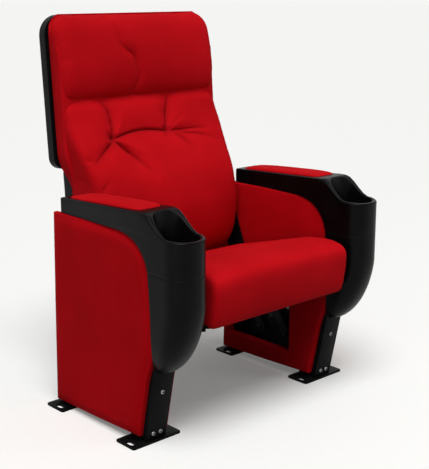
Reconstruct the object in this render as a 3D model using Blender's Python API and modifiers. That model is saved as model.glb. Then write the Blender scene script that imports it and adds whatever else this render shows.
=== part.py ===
"""Push-back auditorium chair: two standards, a swinging seat and a reclining back.

Metres, +Z up, the chair faces -Y.  Lengths along Y are laid out from the front
edge of the front foot plates and shifted at the end so that the origin is under
the middle of the chair.
"""
import math

import bmesh
import bpy
from mathutils import Matrix, Vector

for old in list(bpy.data.objects):
    bpy.data.objects.remove(old)

# Driving sizes: standards
GAP = 0.0003
CENTRE_DISTANCE = 0.6095
POST_WIDTH = 0.062
SHEET = 0.003
PANEL_THICK = 0.0185
PANEL_TOP = 0.523
PANEL_EDGE = 0.009
FOOT_LENGTH = 0.150
FOOT_DEPTH = 0.072
FOOT_THICK = 0.006
SLOT_OFFSET = 0.061
SLOT_LENGTH = 0.028
SLOT_WIDTH = 0.014
REAR_FOOT_Y = 0.301
BELLY_Y = -0.030
BELLY_Z = 0.300
BOW = 0.40
LEG_SLOPE = 0.21
LEG_BEND = 0.089
FACE_PROUD = 0.0145
POST_STEP = 0.425
REAR_EDGE_Y = 0.371
REAR_LEAN = 0.034
CORNER_Z = 0.430
CORNER_Y = 0.085
POST_DEPTH = 0.060
REAR_POST_DEPTH = 0.030
POST_HEAD_RUN = 0.022
POST_HEAD_DROP = 0.012
POST_HEAD_FRONT = 0.020
POST_HEAD_REAR = 0.140
POST_NECK = 0.030
POST_WAIST = 0.100
SETBACK = 0.005
RAIL_HEIGHT = 0.030
PLATE_LOW = 0.030
RECESS_FRONT = 0.095
RECESS_BOTTOM = 0.066
RECESS_TOP = 0.335
STRIP_FRONT = 0.338

# Driving sizes: arms
ARM_REAR = 0.322
ARM_REAR_TOP = 0.5625
ARM_FRONT_TOP = 0.579
ARM_REAR_HALF = 0.041
NOSE_HALF = 0.0525
NOSE_CENTRE_Y = -0.094
NOSE_SEAM = 0.445
NOSE_BEND = 0.370
NOSE_BOTTOM = 0.184
RIM_FRONT = 0.531
CUP_RADIUS = 0.040
CUP_FLOOR = 0.458
WALL = 0.003
PAD_FRONT = 0.012
PAD_REAR = 0.300
PAD_CROWN = 0.016
PAD_HALF = 0.0405
PAD_BORDER = 0.005
PAD_FRONT_INSET = 0.010
PAD_REAR_INSET = 0.014

# Driving sizes: swing mechanism
PLATE_THICK = 0.005
LINK_LENGTH = 0.140
LINK_LEAN = math.radians(35.0)
LINK_SWING = math.radians(24.0)
BACK_RECLINE = math.radians(15.0)
LINK_HALF = 0.0135
LINK_THICK = 0.008
LINK_OFFSET = 0.010
FRONT_PIVOT = Vector((0.133, 0.097))
REAR_PIVOT = Vector((0.238, 0.097))
HINGE = Vector((0.2505, 0.2488))
SHAFT_R = 0.007
PIN_FOOT_R = 0.0115
HINGE_R = 0.008
BUFFER_R = 0.010
SPRING_PLANE = 0.033
SPRING_R = 0.007
SPRING_WIRE = 0.0011
SPRING_TURNS = 10
SPRING_ANCHOR = Vector((0.316, 0.092))
ANCHOR_R = 0.004

# Driving sizes: seat
SEAT_CLEARANCE = 0.01425
SEAT_FRONT = -0.131
SEAT_REAR = 0.285
SEAT_BASE_Z = 0.3125
SEAT_BASE_Y = -0.111
SEAT_SLOPE = -0.090
BOARD_THICK = 0.010
COVER_THICK = 0.004
RAIL_INSET = 0.0355
RAIL_THICK = 0.005

# Driving sizes: back
BACK_DATUM = Vector((0.335, 0.470))
BACK_LEAN = math.radians(4.0)
BACK_HALF = 0.268
WAIST_CLEARANCE = 0.0085
TOP_CORNER = 0.055
TUFT_X = 0.093
TUFT_DROP = 0.0955
STEP_LOW = 0.109
STEP_HIGH = 0.159
HEAD_SEAM = 0.3215
HEAD_TOP = 0.5525
UPPER_REAR = 0.1087
LOWER_REAR = 0.0805
SHELL_DEPTH = 0.038
COVER_DEPTH = 0.048
SHELL_WALL = 0.004
SHELL_PROUD = 0.004
SHELL_TOP_DROP = 0.004
SHELL_EDGE = 0.012
BACK_BOARD_V = 0.0705
UPPER_BOARD_V = 0.0980
BACK_BOARD_THICK = 0.010
BACK_LOW = -0.130
COVER_LOW = -0.168
ARM_PLATE_CLEARANCE = 0.00245
ARM_PLATE_THICK = 0.006
BASE_TUBE_R = 0.0125
BASE_TUBE_U = 0.050

SIDES = (("left", -1), ("right", 1))
STANDARD_X = CENTRE_DISTANCE / 2
PANEL_X = POST_WIDTH / 2 + GAP + PANEL_THICK / 2
NOSE_FRONT = NOSE_CENTRE_Y - NOSE_HALF
SEAT_HALF = STANDARD_X - NOSE_HALF - SEAT_CLEARANCE
RAIL_X = SEAT_HALF - RAIL_INSET
ARM_PLATE_X = STANDARD_X - PANEL_X - PANEL_THICK / 2 - ARM_PLATE_CLEARANCE - ARM_PLATE_THICK / 2
BACK_WAIST = ARM_PLATE_X - ARM_PLATE_THICK / 2 - WAIST_CLEARANCE
TUFT_U = HEAD_SEAM - TUFT_DROP
LINK_IN = LINK_OFFSET + LINK_THICK
LINK_AXIS = Vector((math.sin(LINK_LEAN), math.cos(LINK_LEAN)))
FRONT_TOP = FRONT_PIVOT + LINK_LENGTH * LINK_AXIS
REAR_TOP = REAR_PIVOT + LINK_LENGTH * LINK_AXIS
MID_LEAN = LINK_LEAN - LINK_SWING / 2
RATIO = BACK_RECLINE / LINK_SWING
POLE = LINK_LENGTH / RATIO * Vector((math.sin(MID_LEAN), math.cos(MID_LEAN)))
BACK_PIN = HINGE + POLE
BASE_TUBE_V = BACK_BOARD_V + BACK_BOARD_THICK + GAP + BASE_TUBE_R
SHELL_BACK_V = UPPER_REAR + GAP + SHELL_DEPTH
SHELL_REAR_Y = (BACK_DATUM.x + math.sin(BACK_LEAN) * (HEAD_TOP - SHELL_TOP_DROP - SHELL_EDGE)
                + math.cos(BACK_LEAN) * SHELL_BACK_V)
ORIGIN_Y = (NOSE_FRONT + SHELL_REAR_Y) / 2

# Front silhouette of the back: share of each cushion's height, distance behind the datum line
BACK_PROFILE = (
    (0.0, 0.046), (0.018, 0.018), (0.069, -0.014), (0.151, -0.041), (0.268, -0.057),
    (0.365, -0.060), (0.505, -0.050), (0.576, -0.037), (0.642, -0.019), (0.770, 0.013),
    (0.890, 0.038), (0.963, 0.051), (1.0, 0.066))
HEAD_PROFILE = (
    (0.0, 0.068), (0.058, 0.058), (0.167, 0.053), (0.340, 0.051), (0.535, 0.053),
    (0.729, 0.057), (0.868, 0.064), (0.955, 0.076), (1.0, 0.092))

chair = bpy.data.collections.new("push_back_chair")
cutters = bpy.data.collections.new("cutters")
for collection in (chair, cutters):
    bpy.context.scene.collection.children.link(collection)

SIDE_VIEW = Matrix(((0, 0, 1, 0), (1, 0, 0, 0), (0, 1, 0, 0), (0, 0, 0, 1)))
BLACK_STEEL = ((0.015, 0.015, 0.016), 0.6, 0.45)
BRIGHT_STEEL = ((0.55, 0.55, 0.56), 1.0, 0.3)
BLACK_PLASTIC = ((0.018, 0.018, 0.019), 0.0, 0.45)
RED_FABRIC = ((0.52, 0.012, 0.02), 0.0, 0.85)
RUBBER = ((0.02, 0.02, 0.02), 0.0, 0.8)
PLYWOOD = ((0.55, 0.4, 0.24), 0.0, 0.6)


def empty(name, location, parent=None, lean=0.0):
    """A parent on a joint axis; its place is given in chair axes."""
    holder = bpy.data.objects.new(name, None)
    holder.location = location
    holder.rotation_euler.x = -lean
    holder.parent = parent
    chair.objects.link(holder)
    return holder


root = empty("standards", (0, -ORIGIN_Y, 0))
front_swing = empty("front_swing", (0, *FRONT_PIVOT), root)
rear_swing = empty("rear_swing", (0, *REAR_PIVOT), root)
seat = empty("seat", (0, *(REAR_TOP - REAR_PIVOT)), rear_swing)
back = empty("back", (0, *(HINGE - REAR_TOP)), seat)
back_datum = empty("back_datum", (0, *(BACK_DATUM - HINGE)), back, BACK_LEAN)
HOLDER_AT = {root: Vector((0, 0)), front_swing: FRONT_PIVOT, rear_swing: REAR_PIVOT,
             seat: REAR_TOP, back: HINGE, back_datum: Vector((0, 0))}


def piece(name, mesh, holder, look):
    """Link a mesh given in chair axes (or back axes) under its holder with its own material."""
    shift = HOLDER_AT[holder]
    mesh.transform(Matrix.Translation((0, -shift.x, -shift.y)))
    body = bpy.data.objects.new(name, mesh)
    body.parent = holder
    chair.objects.link(body)
    colour, metallic, roughness = look
    material = bpy.data.materials.new(name)
    material.use_nodes = True
    shader = material.node_tree.nodes["Principled BSDF"]
    shader.inputs["Base Color"].default_value = (*colour, 1)
    shader.inputs["Metallic"].default_value = metallic
    shader.inputs["Roughness"].default_value = roughness
    mesh.materials.append(material)
    return body


def finished(bm, name="mesh"):
    """Weld, face outward and hand over a mesh."""
    bmesh.ops.remove_doubles(bm, verts=bm.verts, dist=1e-6)
    bmesh.ops.recalc_face_normals(bm, faces=bm.faces)
    mesh = bpy.data.meshes.new(name)
    bm.to_mesh(mesh)
    bm.free()
    return mesh


def slab(outline, thickness, holes=()):
    """A flat outline in XY with holes, its thickness centred on z = 0, as a mesh."""
    curve = bpy.data.curves.new("outline", "CURVE")
    curve.dimensions = "2D"
    curve.fill_mode = "BOTH"
    curve.extrude = thickness / 2
    for loop in (outline, *holes):
        spline = curve.splines.new("POLY")
        spline.points.add(len(loop) - 1)
        for point, (a, b) in zip(spline.points, loop):
            point.co = (a, b, 0, 1)
        spline.use_cyclic_u = True
    holder = bpy.data.objects.new("outline", curve)
    bpy.context.scene.collection.objects.link(holder)
    shape = holder.evaluated_get(bpy.context.evaluated_depsgraph_get())
    mesh = bpy.data.meshes.new_from_object(shape)
    bpy.data.objects.remove(holder)
    bm = bmesh.new()
    bm.from_mesh(mesh)
    return finished(bm)


def side_slab(outline, x, thickness, holes=()):
    """A flat outline in YZ standing at x."""
    mesh = slab(outline, thickness, holes)
    mesh.transform(Matrix.Translation((x, 0, 0)) @ SIDE_VIEW)
    return mesh


def arc(centre, radius, start, end, steps):
    """Points on an arc, angles in degrees."""
    turn = [math.radians(start + (end - start) * i / steps) for i in range(steps + 1)]
    return [(centre[0] + radius * math.cos(a), centre[1] + radius * math.sin(a)) for a in turn]


def ring(centre, radius, steps=16):
    return arc(centre, radius, 0, 360 - 360 / steps, steps - 1)


def rounded_box(a0, a1, b0, b1, radius, steps=3):
    return (arc((a1 - radius, b1 - radius), radius, 0, 90, steps)
            + arc((a0 + radius, b1 - radius), radius, 90, 180, steps)
            + arc((a0 + radius, b0 + radius), radius, 180, 270, steps)
            + arc((a1 - radius, b0 + radius), radius, 270, 360, steps))


def hull_outline(discs, steps=6):
    """Outline of a band wrapped round discs listed anticlockwise, as (centre, radius)."""
    points = []
    count = len(discs)
    for i, (centre, radius) in enumerate(discs):
        angles = []
        for (c0, r0), (c1, r1) in ((discs[i - 1], discs[i]), (discs[i], discs[(i + 1) % count])):
            along = Vector(c1) - Vector(c0)
            tilt = math.asin((r1 - r0) / along.length)
            angles.append(math.degrees(math.atan2(along.y, along.x) - math.pi / 2 - tilt))
        while angles[1] < angles[0]:
            angles[1] += 360
        points += arc(centre, radius, angles[0], angles[1], steps)
    return points


def loft(rings, cap_start=True, cap_end=True):
    """Skin closed rings of equal point counts."""
    bm = bmesh.new()
    loops = [[bm.verts.new(p) for p in points] for points in rings]
    count = len(loops[0])
    for one, two in zip(loops, loops[1:]):
        for i in range(count):
            bm.faces.new((one[i - 1], one[i], two[i], two[i - 1]))
    if cap_start:
        bm.faces.new(loops[0])
    if cap_end:
        bm.faces.new(loops[-1][::-1])
    return finished(bm)


def turned(bm, profile, place, steps=12):
    """Add a turned solid to a mesh: (radius, height) from the axis out and back to it."""
    verts = [bm.verts.new(place @ Vector((r, 0, h))) for r, h in profile]
    edges = [bm.edges.new(pair) for pair in zip(verts, verts[1:])]
    axis = (place.to_3x3() @ Vector((0, 0, 1))).normalized()
    bmesh.ops.spin(bm, geom=verts + edges, cent=place.translation, axis=axis,
                   angle=2 * math.pi, steps=steps, use_merge=True)


def along_x(x, y, z, sign=1):
    """A frame at a point with its Z axis along +X or -X."""
    return Matrix.Translation((x, y, z)) @ Matrix.Rotation(sign * math.pi / 2, 4, "Y")


def rod(x0, x1, centre, radius, steps=16):
    bm = bmesh.new()
    bmesh.ops.create_cone(bm, cap_ends=True, segments=steps, radius1=radius, radius2=radius,
                          depth=x1 - x0, matrix=along_x((x0 + x1) / 2, *centre))
    return finished(bm)


def box_mesh(x0, x1, y0, y1, z0, z1):
    bm = bmesh.new()
    size = Matrix.Diagonal((x1 - x0, y1 - y0, z1 - z0, 1))
    middle = Matrix.Translation(((x0 + x1) / 2, (y0 + y1) / 2, (z0 + z1) / 2))
    bmesh.ops.create_cube(bm, size=1, matrix=middle @ size)
    return finished(bm)


def cut(body, mesh, operation="DIFFERENCE"):
    """Boolean a body with a hidden cutter given in the same axes as the body's mesh was."""
    shift = HOLDER_AT[{h.name: h for h in HOLDER_AT}[body.parent.name]]
    mesh.transform(Matrix.Translation((0, -shift.x, -shift.y)))
    tool = bpy.data.objects.new(body.name + "_cutter", mesh)
    tool.parent = body.parent
    tool.hide_render = True
    tool.display_type = "WIRE"
    cutters.objects.link(tool)
    modifier = body.modifiers.new("cut", "BOOLEAN")
    modifier.operation = operation
    modifier.solver = "EXACT"
    modifier.object = tool


def soften(body, width, segments=2):
    modifier = body.modifiers.new("soft edge", "BEVEL")
    modifier.width = width
    modifier.segments = segments
    modifier.limit_method = "ANGLE"
    modifier.angle_limit = math.radians(45)


def front_edge(z):
    """Front line of a standard in side view."""
    if z >= BELLY_Z:
        return BELLY_Y + BOW * (z - BELLY_Z) ** 2
    below = BELLY_Z - z
    if below < LEG_BEND:
        return BELLY_Y + LEG_SLOPE / (2 * LEG_BEND) * below ** 2
    return BELLY_Y + LEG_SLOPE * (below - LEG_BEND / 2)


def post_face(z):
    """Front of a post: proud of the panels, and stepped back under the arm."""
    return front_edge(z) + (SETBACK if z > POST_STEP else -FACE_PROUD)


def rear_edge(z):
    return REAR_EDGE_Y - REAR_LEAN * z


def levels(z0, z1, count):
    return [z0 + (z1 - z0) * i / count for i in range(count + 1)]


def corner(offset=0.0, steps=6):
    """Rounded front top corner of the panels, from the front line to the top line."""
    low = Vector((front_edge(CORNER_Z), CORNER_Z))
    reach = CORNER_Y - low.x + offset
    rise = PANEL_TOP - CORNER_Z + offset
    turn = [math.pi / 2 * i / steps for i in range(steps + 1)]
    return [(CORNER_Y - reach * math.cos(t), CORNER_Z + rise * math.sin(t)) for t in turn]


def smooth(table, at):
    """Read a table of (place, value) with straight lines between its points."""
    for (a, va), (b, vb) in zip(table, table[1:]):
        if at <= b:
            return va + (vb - va) * max(0.0, (at - a) / (b - a))
    return table[-1][1]


def blend(at, low, high):
    t = min(1.0, max(0.0, (at - low) / (high - low)))
    return t * t * (3 - 2 * t)


# Standards: posts, rails, panels and feet
POST_LOW = FOOT_THICK + GAP
BEYOND = REAR_EDGE_Y
TOP_RAIL_Z = PANEL_TOP - GAP - RAIL_HEIGHT
POST_TOP = TOP_RAIL_Z - GAP
PANEL_LOW_FRONT = 0.018
PANEL_LOW_REAR = FOOT_THICK + 0.004
for side, sign in SIDES:
    x = sign * STANDARD_X
    for name, y0 in (("front_foot", 0.0), ("rear_foot", REAR_FOOT_Y)):
        plate = rounded_box(x - FOOT_LENGTH / 2, x + FOOT_LENGTH / 2, y0, y0 + FOOT_DEPTH, 0.006)
        slot_x, slot_y = x - SLOT_OFFSET, y0 + FOOT_DEPTH * 0.42
        end = SLOT_LENGTH / 2 - SLOT_WIDTH / 2
        slot = (arc((slot_x, slot_y + end), SLOT_WIDTH / 2, 0, 180, 6)
                + arc((slot_x, slot_y - end), SLOT_WIDTH / 2, 180, 360, 6))
        mesh = slab(plate, FOOT_THICK, (slot,))
        mesh.transform(Matrix.Translation((0, 0, FOOT_THICK / 2)))
        piece(f"{name}_{side}", mesh, root, BLACK_STEEL)

    face = [(post_face(z), z) for z in levels(POST_LOW, POST_STEP, 8)]
    ledge = front_edge(POST_STEP) + SETBACK
    deep = POST_DEPTH - FACE_PROUD
    post_outline = face + [(ledge, POST_STEP), (ledge + POST_HEAD_RUN, POST_TOP - POST_HEAD_DROP),
                           (CORNER_Y - POST_HEAD_FRONT, POST_TOP), (ledge + POST_HEAD_REAR, POST_TOP),
                           (front_edge(CORNER_Z) + deep, CORNER_Z - POST_NECK)]
    post_outline += [(front_edge(z) + deep, z) for z in levels(CORNER_Z - POST_WAIST, POST_LOW, 6)]
    post = piece(f"front_post_{side}", side_slab(post_outline, x, POST_WIDTH), root, BLACK_STEEL)
    inside = [(z, post_face(z) + SHEET) for z in levels(-SHEET, POST_STEP - SHEET, 9)]
    hollow = [(y, z) for z, y in inside]
    hollow += [(ledge + SHEET, POST_STEP - SHEET),
               (ledge + POST_HEAD_RUN + SHEET / 3, POST_TOP - POST_HEAD_DROP - SHEET),
               (CORNER_Y - POST_HEAD_FRONT, POST_TOP - SHEET), (BEYOND, POST_TOP - SHEET), (BEYOND, -SHEET)]
    cut(post, side_slab(hollow, x, POST_WIDTH - 2 * SHEET))

    rear_line = [(rear_edge(z) - SETBACK, z) for z in (POST_LOW, POST_TOP)]
    rear_outline = rear_line + [(y - REAR_POST_DEPTH, z) for y, z in rear_line[::-1]]
    post = piece(f"rear_post_{side}", side_slab(rear_outline, x, POST_WIDTH), root, BLACK_STEEL)
    hollow = [(rear_edge(z) - SETBACK - SHEET, z) for z in (-0.02, POST_TOP + 0.02)]
    hollow += [(y - 0.1, z) for y, z in hollow[::-1]]
    cut(post, side_slab(hollow, x, POST_WIDTH - 2 * SHEET))

    panel_x = x + sign * PANEL_X
    front_line = [(front_edge(z), z) for z in levels(PANEL_LOW_FRONT, CORNER_Z, 7)[:-1]]
    panel = front_line + corner() + [(rear_edge(PANEL_TOP), PANEL_TOP),
                                     (rear_edge(PANEL_LOW_REAR), PANEL_LOW_REAR)]
    body = piece(f"outer_panel_{side}", side_slab(panel, panel_x, PANEL_THICK), root, RED_FABRIC)
    soften(body, PANEL_EDGE)

    pad_x = x - sign * PANEL_X
    pad = front_line + corner() + [(RECESS_FRONT, PANEL_TOP), (RECESS_FRONT, PANEL_LOW_FRONT)]
    body = piece(f"inner_front_pad_{side}", side_slab(pad, pad_x, PANEL_THICK), root, RED_FABRIC)
    soften(body, PANEL_EDGE)
    y0 = RECESS_FRONT + GAP
    pad = [(y0, RECESS_TOP), (rear_edge(RECESS_TOP), RECESS_TOP), (rear_edge(PANEL_TOP), PANEL_TOP),
           (y0, PANEL_TOP)]
    mesh = side_slab(pad, pad_x, PANEL_THICK, (ring(BACK_PIN, PIN_FOOT_R + 0.001, 12),))
    body = piece(f"inner_upper_pad_{side}", mesh, root, RED_FABRIC)
    soften(body, PANEL_EDGE)
    pad = [(y0, PANEL_LOW_FRONT), (rear_edge(PANEL_LOW_REAR), PANEL_LOW_REAR),
           (rear_edge(RECESS_TOP - GAP), RECESS_TOP - GAP), (STRIP_FRONT, RECESS_TOP - GAP),
           (STRIP_FRONT, RECESS_BOTTOM), (y0, RECESS_BOTTOM)]
    body = piece(f"inner_lower_pad_{side}", side_slab(pad, pad_x, PANEL_THICK), root, RED_FABRIC)
    soften(body, PANEL_EDGE)

    web = [PLATE_LOW] + [z for z, _ in inside if PLATE_LOW < z < RECESS_TOP] + [RECESS_TOP]
    plate = [(smooth(inside, z) + GAP, z) for z in web]
    plate += [(rear_edge(z) - SETBACK - SHEET - GAP, z) for z in (web[-1], web[0])]
    plate = piece(f"mechanism_plate_{side}", side_slab(plate, x, PLATE_THICK), root, BLACK_STEEL)
    inward = Matrix.Rotation(-sign * math.pi / 2, 4, "Y")
    rivets = bmesh.new()
    for pivot in (FRONT_PIVOT, REAR_PIVOT):
        turned(rivets, ((0, 0), (0.012, 0), (0.012, LINK_OFFSET - GAP), (SHAFT_R, LINK_OFFSET - GAP),
                        (SHAFT_R, LINK_IN + GAP), (0.011, LINK_IN + GAP), (0.0105, LINK_IN + 0.003),
                        (0.006, LINK_IN + 0.005), (0, LINK_IN + 0.0053)),
               Matrix.Translation((x, *pivot)) @ inward)
    turned(rivets, ((0, 0), (0.007, 0), (0.007, 0.008), (ANCHOR_R, 0.008),
                    (ANCHOR_R, SPRING_PLANE + 0.005), (0, SPRING_PLANE + 0.005)),
           Matrix.Translation((x, *SPRING_ANCHOR)) @ inward)
    for y, z in ((0.060, 0.085), (0.060, 0.300), (0.310, 0.300), (0.270, 0.070)):
        turned(rivets, ((0, 0), (0.008, 0), (0.008, 0.0075), (0.006, 0.0085), (0, 0.0085)),
               Matrix.Translation((x, y, z)) @ inward, 6)
    cut(plate, finished(rivets), "UNION")

    half = POST_WIDTH / 2
    y0, y1 = CORNER_Y, rear_edge(PANEL_TOP) - SETBACK
    rail = piece(f"top_rail_{side}", box_mesh(x - half, x + half, y0, y1, TOP_RAIL_Z,
                                              TOP_RAIL_Z + RAIL_HEIGHT), root, BLACK_STEEL)
    cut(rail, box_mesh(x - half + SHEET, x + half - SHEET, y0 + SHEET, y1 - SHEET,
                       TOP_RAIL_Z - 0.01, TOP_RAIL_Z + RAIL_HEIGHT - SHEET))

# Arms: moulding with a cup, nose cover and pad
def arm_top(y):
    return ARM_FRONT_TOP + (ARM_REAR_TOP - ARM_FRONT_TOP) * max(0.0, y) / ARM_REAR


def nose_outline(half, rear_y, front_y, power=2.3, steps=12):
    """Plan of the nose: straight sides from the rear, then a rounded front."""
    depth = min(half, (rear_y - front_y) * 0.9)
    turn = [math.pi * i / steps for i in range(steps + 1)]
    front = [(half * math.copysign(abs(math.cos(t)) ** (2 / power), math.cos(t)),
              front_y + depth - depth * math.sin(t) ** (2 / power)) for t in turn]
    return [(half, rear_y)] + front + [(-half, rear_y)]


RIM_RUN = [(t / 8, blend(t / 8, 0, 1)) for t in range(9)]
for side, sign in SIDES:
    x = sign * STANDARD_X
    rim = [(-0.024 + t * -0.068, ARM_FRONT_TOP + 0.002 + s * (RIM_FRONT + 0.003 - ARM_FRONT_TOP))
           for t, s in RIM_RUN]
    under = [(front_edge(z) - GAP, z) for z in levels(NOSE_SEAM + GAP / 2, CORNER_Z, 2)[:1]]
    wrap = [p for p in corner(GAP) if p[1] > NOSE_SEAM + 0.004]
    profile = ([(ARM_REAR, PANEL_TOP + GAP), (ARM_REAR, ARM_REAR_TOP), (0.10, arm_top(0.10)),
                (0.0, ARM_FRONT_TOP)] + rim
               + [(NOSE_FRONT - 0.01, RIM_FRONT), (NOSE_FRONT - 0.01, NOSE_SEAM + GAP / 2)]
               + under + wrap)
    plan = nose_outline(NOSE_HALF, -0.03, NOSE_FRONT)
    plan = ([(ARM_REAR_HALF - 0.006, ARM_REAR), (ARM_REAR_HALF, ARM_REAR - 0.006),
             (NOSE_HALF - 0.002, 0.03)] + plan
            + [(-NOSE_HALF + 0.002, 0.03), (-ARM_REAR_HALF, ARM_REAR - 0.006),
               (-ARM_REAR_HALF + 0.006, ARM_REAR)])
    arm = piece(f"arm_moulding_{side}", side_slab(profile, x, 0.14), root, BLACK_PLASTIC)
    mesh = slab(plan, 0.4)
    mesh.transform(Matrix.Translation((x, 0, 0.5)))
    cut(arm, mesh, "INTERSECT")
    bm = bmesh.new()
    depth = 0.2
    bmesh.ops.create_cone(bm, cap_ends=True, segments=20, radius1=CUP_RADIUS, radius2=CUP_RADIUS,
                          depth=depth,
                          matrix=Matrix.Translation((x, NOSE_CENTRE_Y, CUP_FLOOR + depth / 2)))
    cut(arm, finished(bm))
    bm = bmesh.new()
    tilt = Matrix.Rotation(math.radians(-20), 4, "X")
    base = Matrix.Translation((x, NOSE_CENTRE_Y, CUP_FLOOR + 0.045))
    bmesh.ops.create_cone(bm, cap_ends=True, segments=20, radius1=CUP_RADIUS, radius2=CUP_RADIUS,
                          depth=depth, matrix=base @ tilt @ Matrix.Translation((0, 0, depth / 2)))
    cut(arm, finished(bm))
    hollow = 0.5 * (PANEL_TOP + ARM_REAR_TOP)
    cut(arm, box_mesh(x - 0.03, x + 0.03, CORNER_Y + 0.005, ARM_REAR - 0.008, PANEL_TOP - 0.01, hollow))

    rings = []
    for z in (levels(NOSE_SEAM - GAP / 2, NOSE_BEND, 2)
              + [NOSE_BEND + (NOSE_BOTTOM - NOSE_BEND) * t for t in (0.25, 0.45, 0.62, 0.77, 0.9, 1)]):
        drop = max(0.0, (NOSE_BEND - z) / (NOSE_BEND - NOSE_BOTTOM + 0.006))
        rear_y = front_edge(z) - GAP
        face_y = front_edge(z) - FACE_PROUD - GAP
        front_y = face_y - 0.010 + (NOSE_FRONT - face_y + 0.010) * (1 - drop ** 1.5) ** (2 / 3)
        narrow = max(0.0, (0.30 - z) / 0.125)
        half = NOSE_HALF * (1 - min(0.8, narrow) ** 3) ** (1 / 3)
        notch = POST_WIDTH / 2 + GAP
        section = nose_outline(half, rear_y, front_y)
        section += [(-notch, rear_y), (-notch, face_y), (notch, face_y), (notch, rear_y)]
        rings.append([(x + a, b, z) for a, b in section])
    nose = piece(f"nose_cover_{side}", loft(rings, cap_start=False), root, BLACK_PLASTIC)
    wall = nose.modifiers.new("wall", "SOLIDIFY")
    wall.thickness = WALL
    wall.offset = -1

    rings = []
    for t in (0, 0.03, 0.1, 0.3, 0.5, 0.7, 0.88, 0.97, 1):
        y = PAD_FRONT + (PAD_REAR - PAD_FRONT) * t
        inset = PAD_FRONT_INSET * max(0, 1 - t / 0.03) + PAD_REAR_INSET * max(0, (t - 0.88) / 0.12) ** 2
        half = PAD_HALF + (ARM_REAR_HALF - PAD_BORDER - PAD_HALF) * t - inset
        low = arm_top(y) + GAP
        crown = PAD_CROWN * (0.45 + 0.55 * min(1, t / 0.1)) * (1 - 0.45 * t) \
            * (1 - 0.55 * max(0, (t - 0.8) / 0.2) ** 2)
        section = [(half, 0), (half, 0.45), (half * 0.8, 0.84), (half * 0.4, 1), (-half * 0.4, 1),
                   (-half * 0.8, 0.84), (-half, 0.45), (-half, 0)]
        rings.append([(x + a, y, low + h * crown) for a, h in section])
    piece(f"arm_pad_{side}", loft(rings), root, RED_FABRIC)

# Swing links, shafts, studs, stops and springs
def link_outline(pivot, top):
    return hull_outline([(pivot, LINK_HALF), (top, LINK_HALF)])


link_pairs = (("front", front_swing, FRONT_PIVOT, FRONT_TOP), ("rear", rear_swing, REAR_PIVOT, REAR_TOP))
link_in = STANDARD_X - LINK_OFFSET
for name, holder, pivot, top in link_pairs:
    for side, sign in SIDES:
        mesh = side_slab(link_outline(pivot, top), sign * (link_in - LINK_THICK / 2), LINK_THICK,
                         (ring(pivot, SHAFT_R + GAP), ring(top, SHAFT_R + GAP)))
        piece(f"{name}_link_{side}", mesh, holder, BLACK_STEEL)
    piece(f"{name}_cross_shaft", rod(-link_in, link_in, top, SHAFT_R), holder, BRIGHT_STEEL)

rest_normal = Vector((LINK_AXIS.y, -LINK_AXIS.x))
swung = LINK_LEAN - LINK_SWING
swung_axis = Vector((math.sin(swung), math.cos(swung)))
swung_normal = Vector((-swung_axis.y, swung_axis.x))
off_link = LINK_HALF + BUFFER_R + GAP
stops = (("rest", FRONT_PIVOT + 0.55 * LINK_LENGTH * LINK_AXIS + off_link * rest_normal),
         ("limit", FRONT_PIVOT + 0.60 * LINK_LENGTH * swung_axis + off_link * swung_normal))
base, flange = PLATE_THICK / 2 + GAP, POST_WIDTH / 2 + GAP
pin_end = STANDARD_X - ARM_PLATE_X + ARM_PLATE_THICK / 2 + 0.0008
for side, sign in SIDES:
    x = sign * STANDARD_X
    inward = Matrix.Rotation(-sign * math.pi / 2, 4, "Y")
    for name, stop in stops:
        bm = bmesh.new()
        turned(bm, ((0, base), (BUFFER_R, base), (BUFFER_R, LINK_IN - 0.002),
                    (BUFFER_R - 0.002, LINK_IN), (0, LINK_IN)), Matrix.Translation((x, *stop)) @ inward)
        piece(f"{name}_buffer_{side}", finished(bm), root, RUBBER)
    bm = bmesh.new()
    turned(bm, ((0, flange), (PIN_FOOT_R, flange), (PIN_FOOT_R, flange + 0.012), (SHAFT_R, flange + 0.012),
                (SHAFT_R, pin_end), (0.0135, pin_end), (0.012, pin_end + 0.0028), (0, pin_end + 0.003)),
           Matrix.Translation((x, *BACK_PIN)) @ inward)
    piece(f"back_pivot_pin_{side}", finished(bm), root, BRIGHT_STEEL)

    for name, dx, z in (("upper", 0, 0.137), ("lower_left", -0.011, 0.024), ("lower_right", 0.011, 0.024)):
        slope = -math.atan(LEG_SLOPE)
        at = (Matrix.Translation((x + dx, post_face(z), z))
              @ Matrix.Rotation(math.pi / 2 - slope, 4, "X"))
        bm = bmesh.new()
        turned(bm, ((0, GAP), (0.0058, GAP), (0.0050, 0.0022), (0.0028, 0.0034), (0, 0.0036)), at, 10)
        piece(f"{name}_post_screw_{side}", finished(bm), root, BRIGHT_STEEL)

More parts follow.
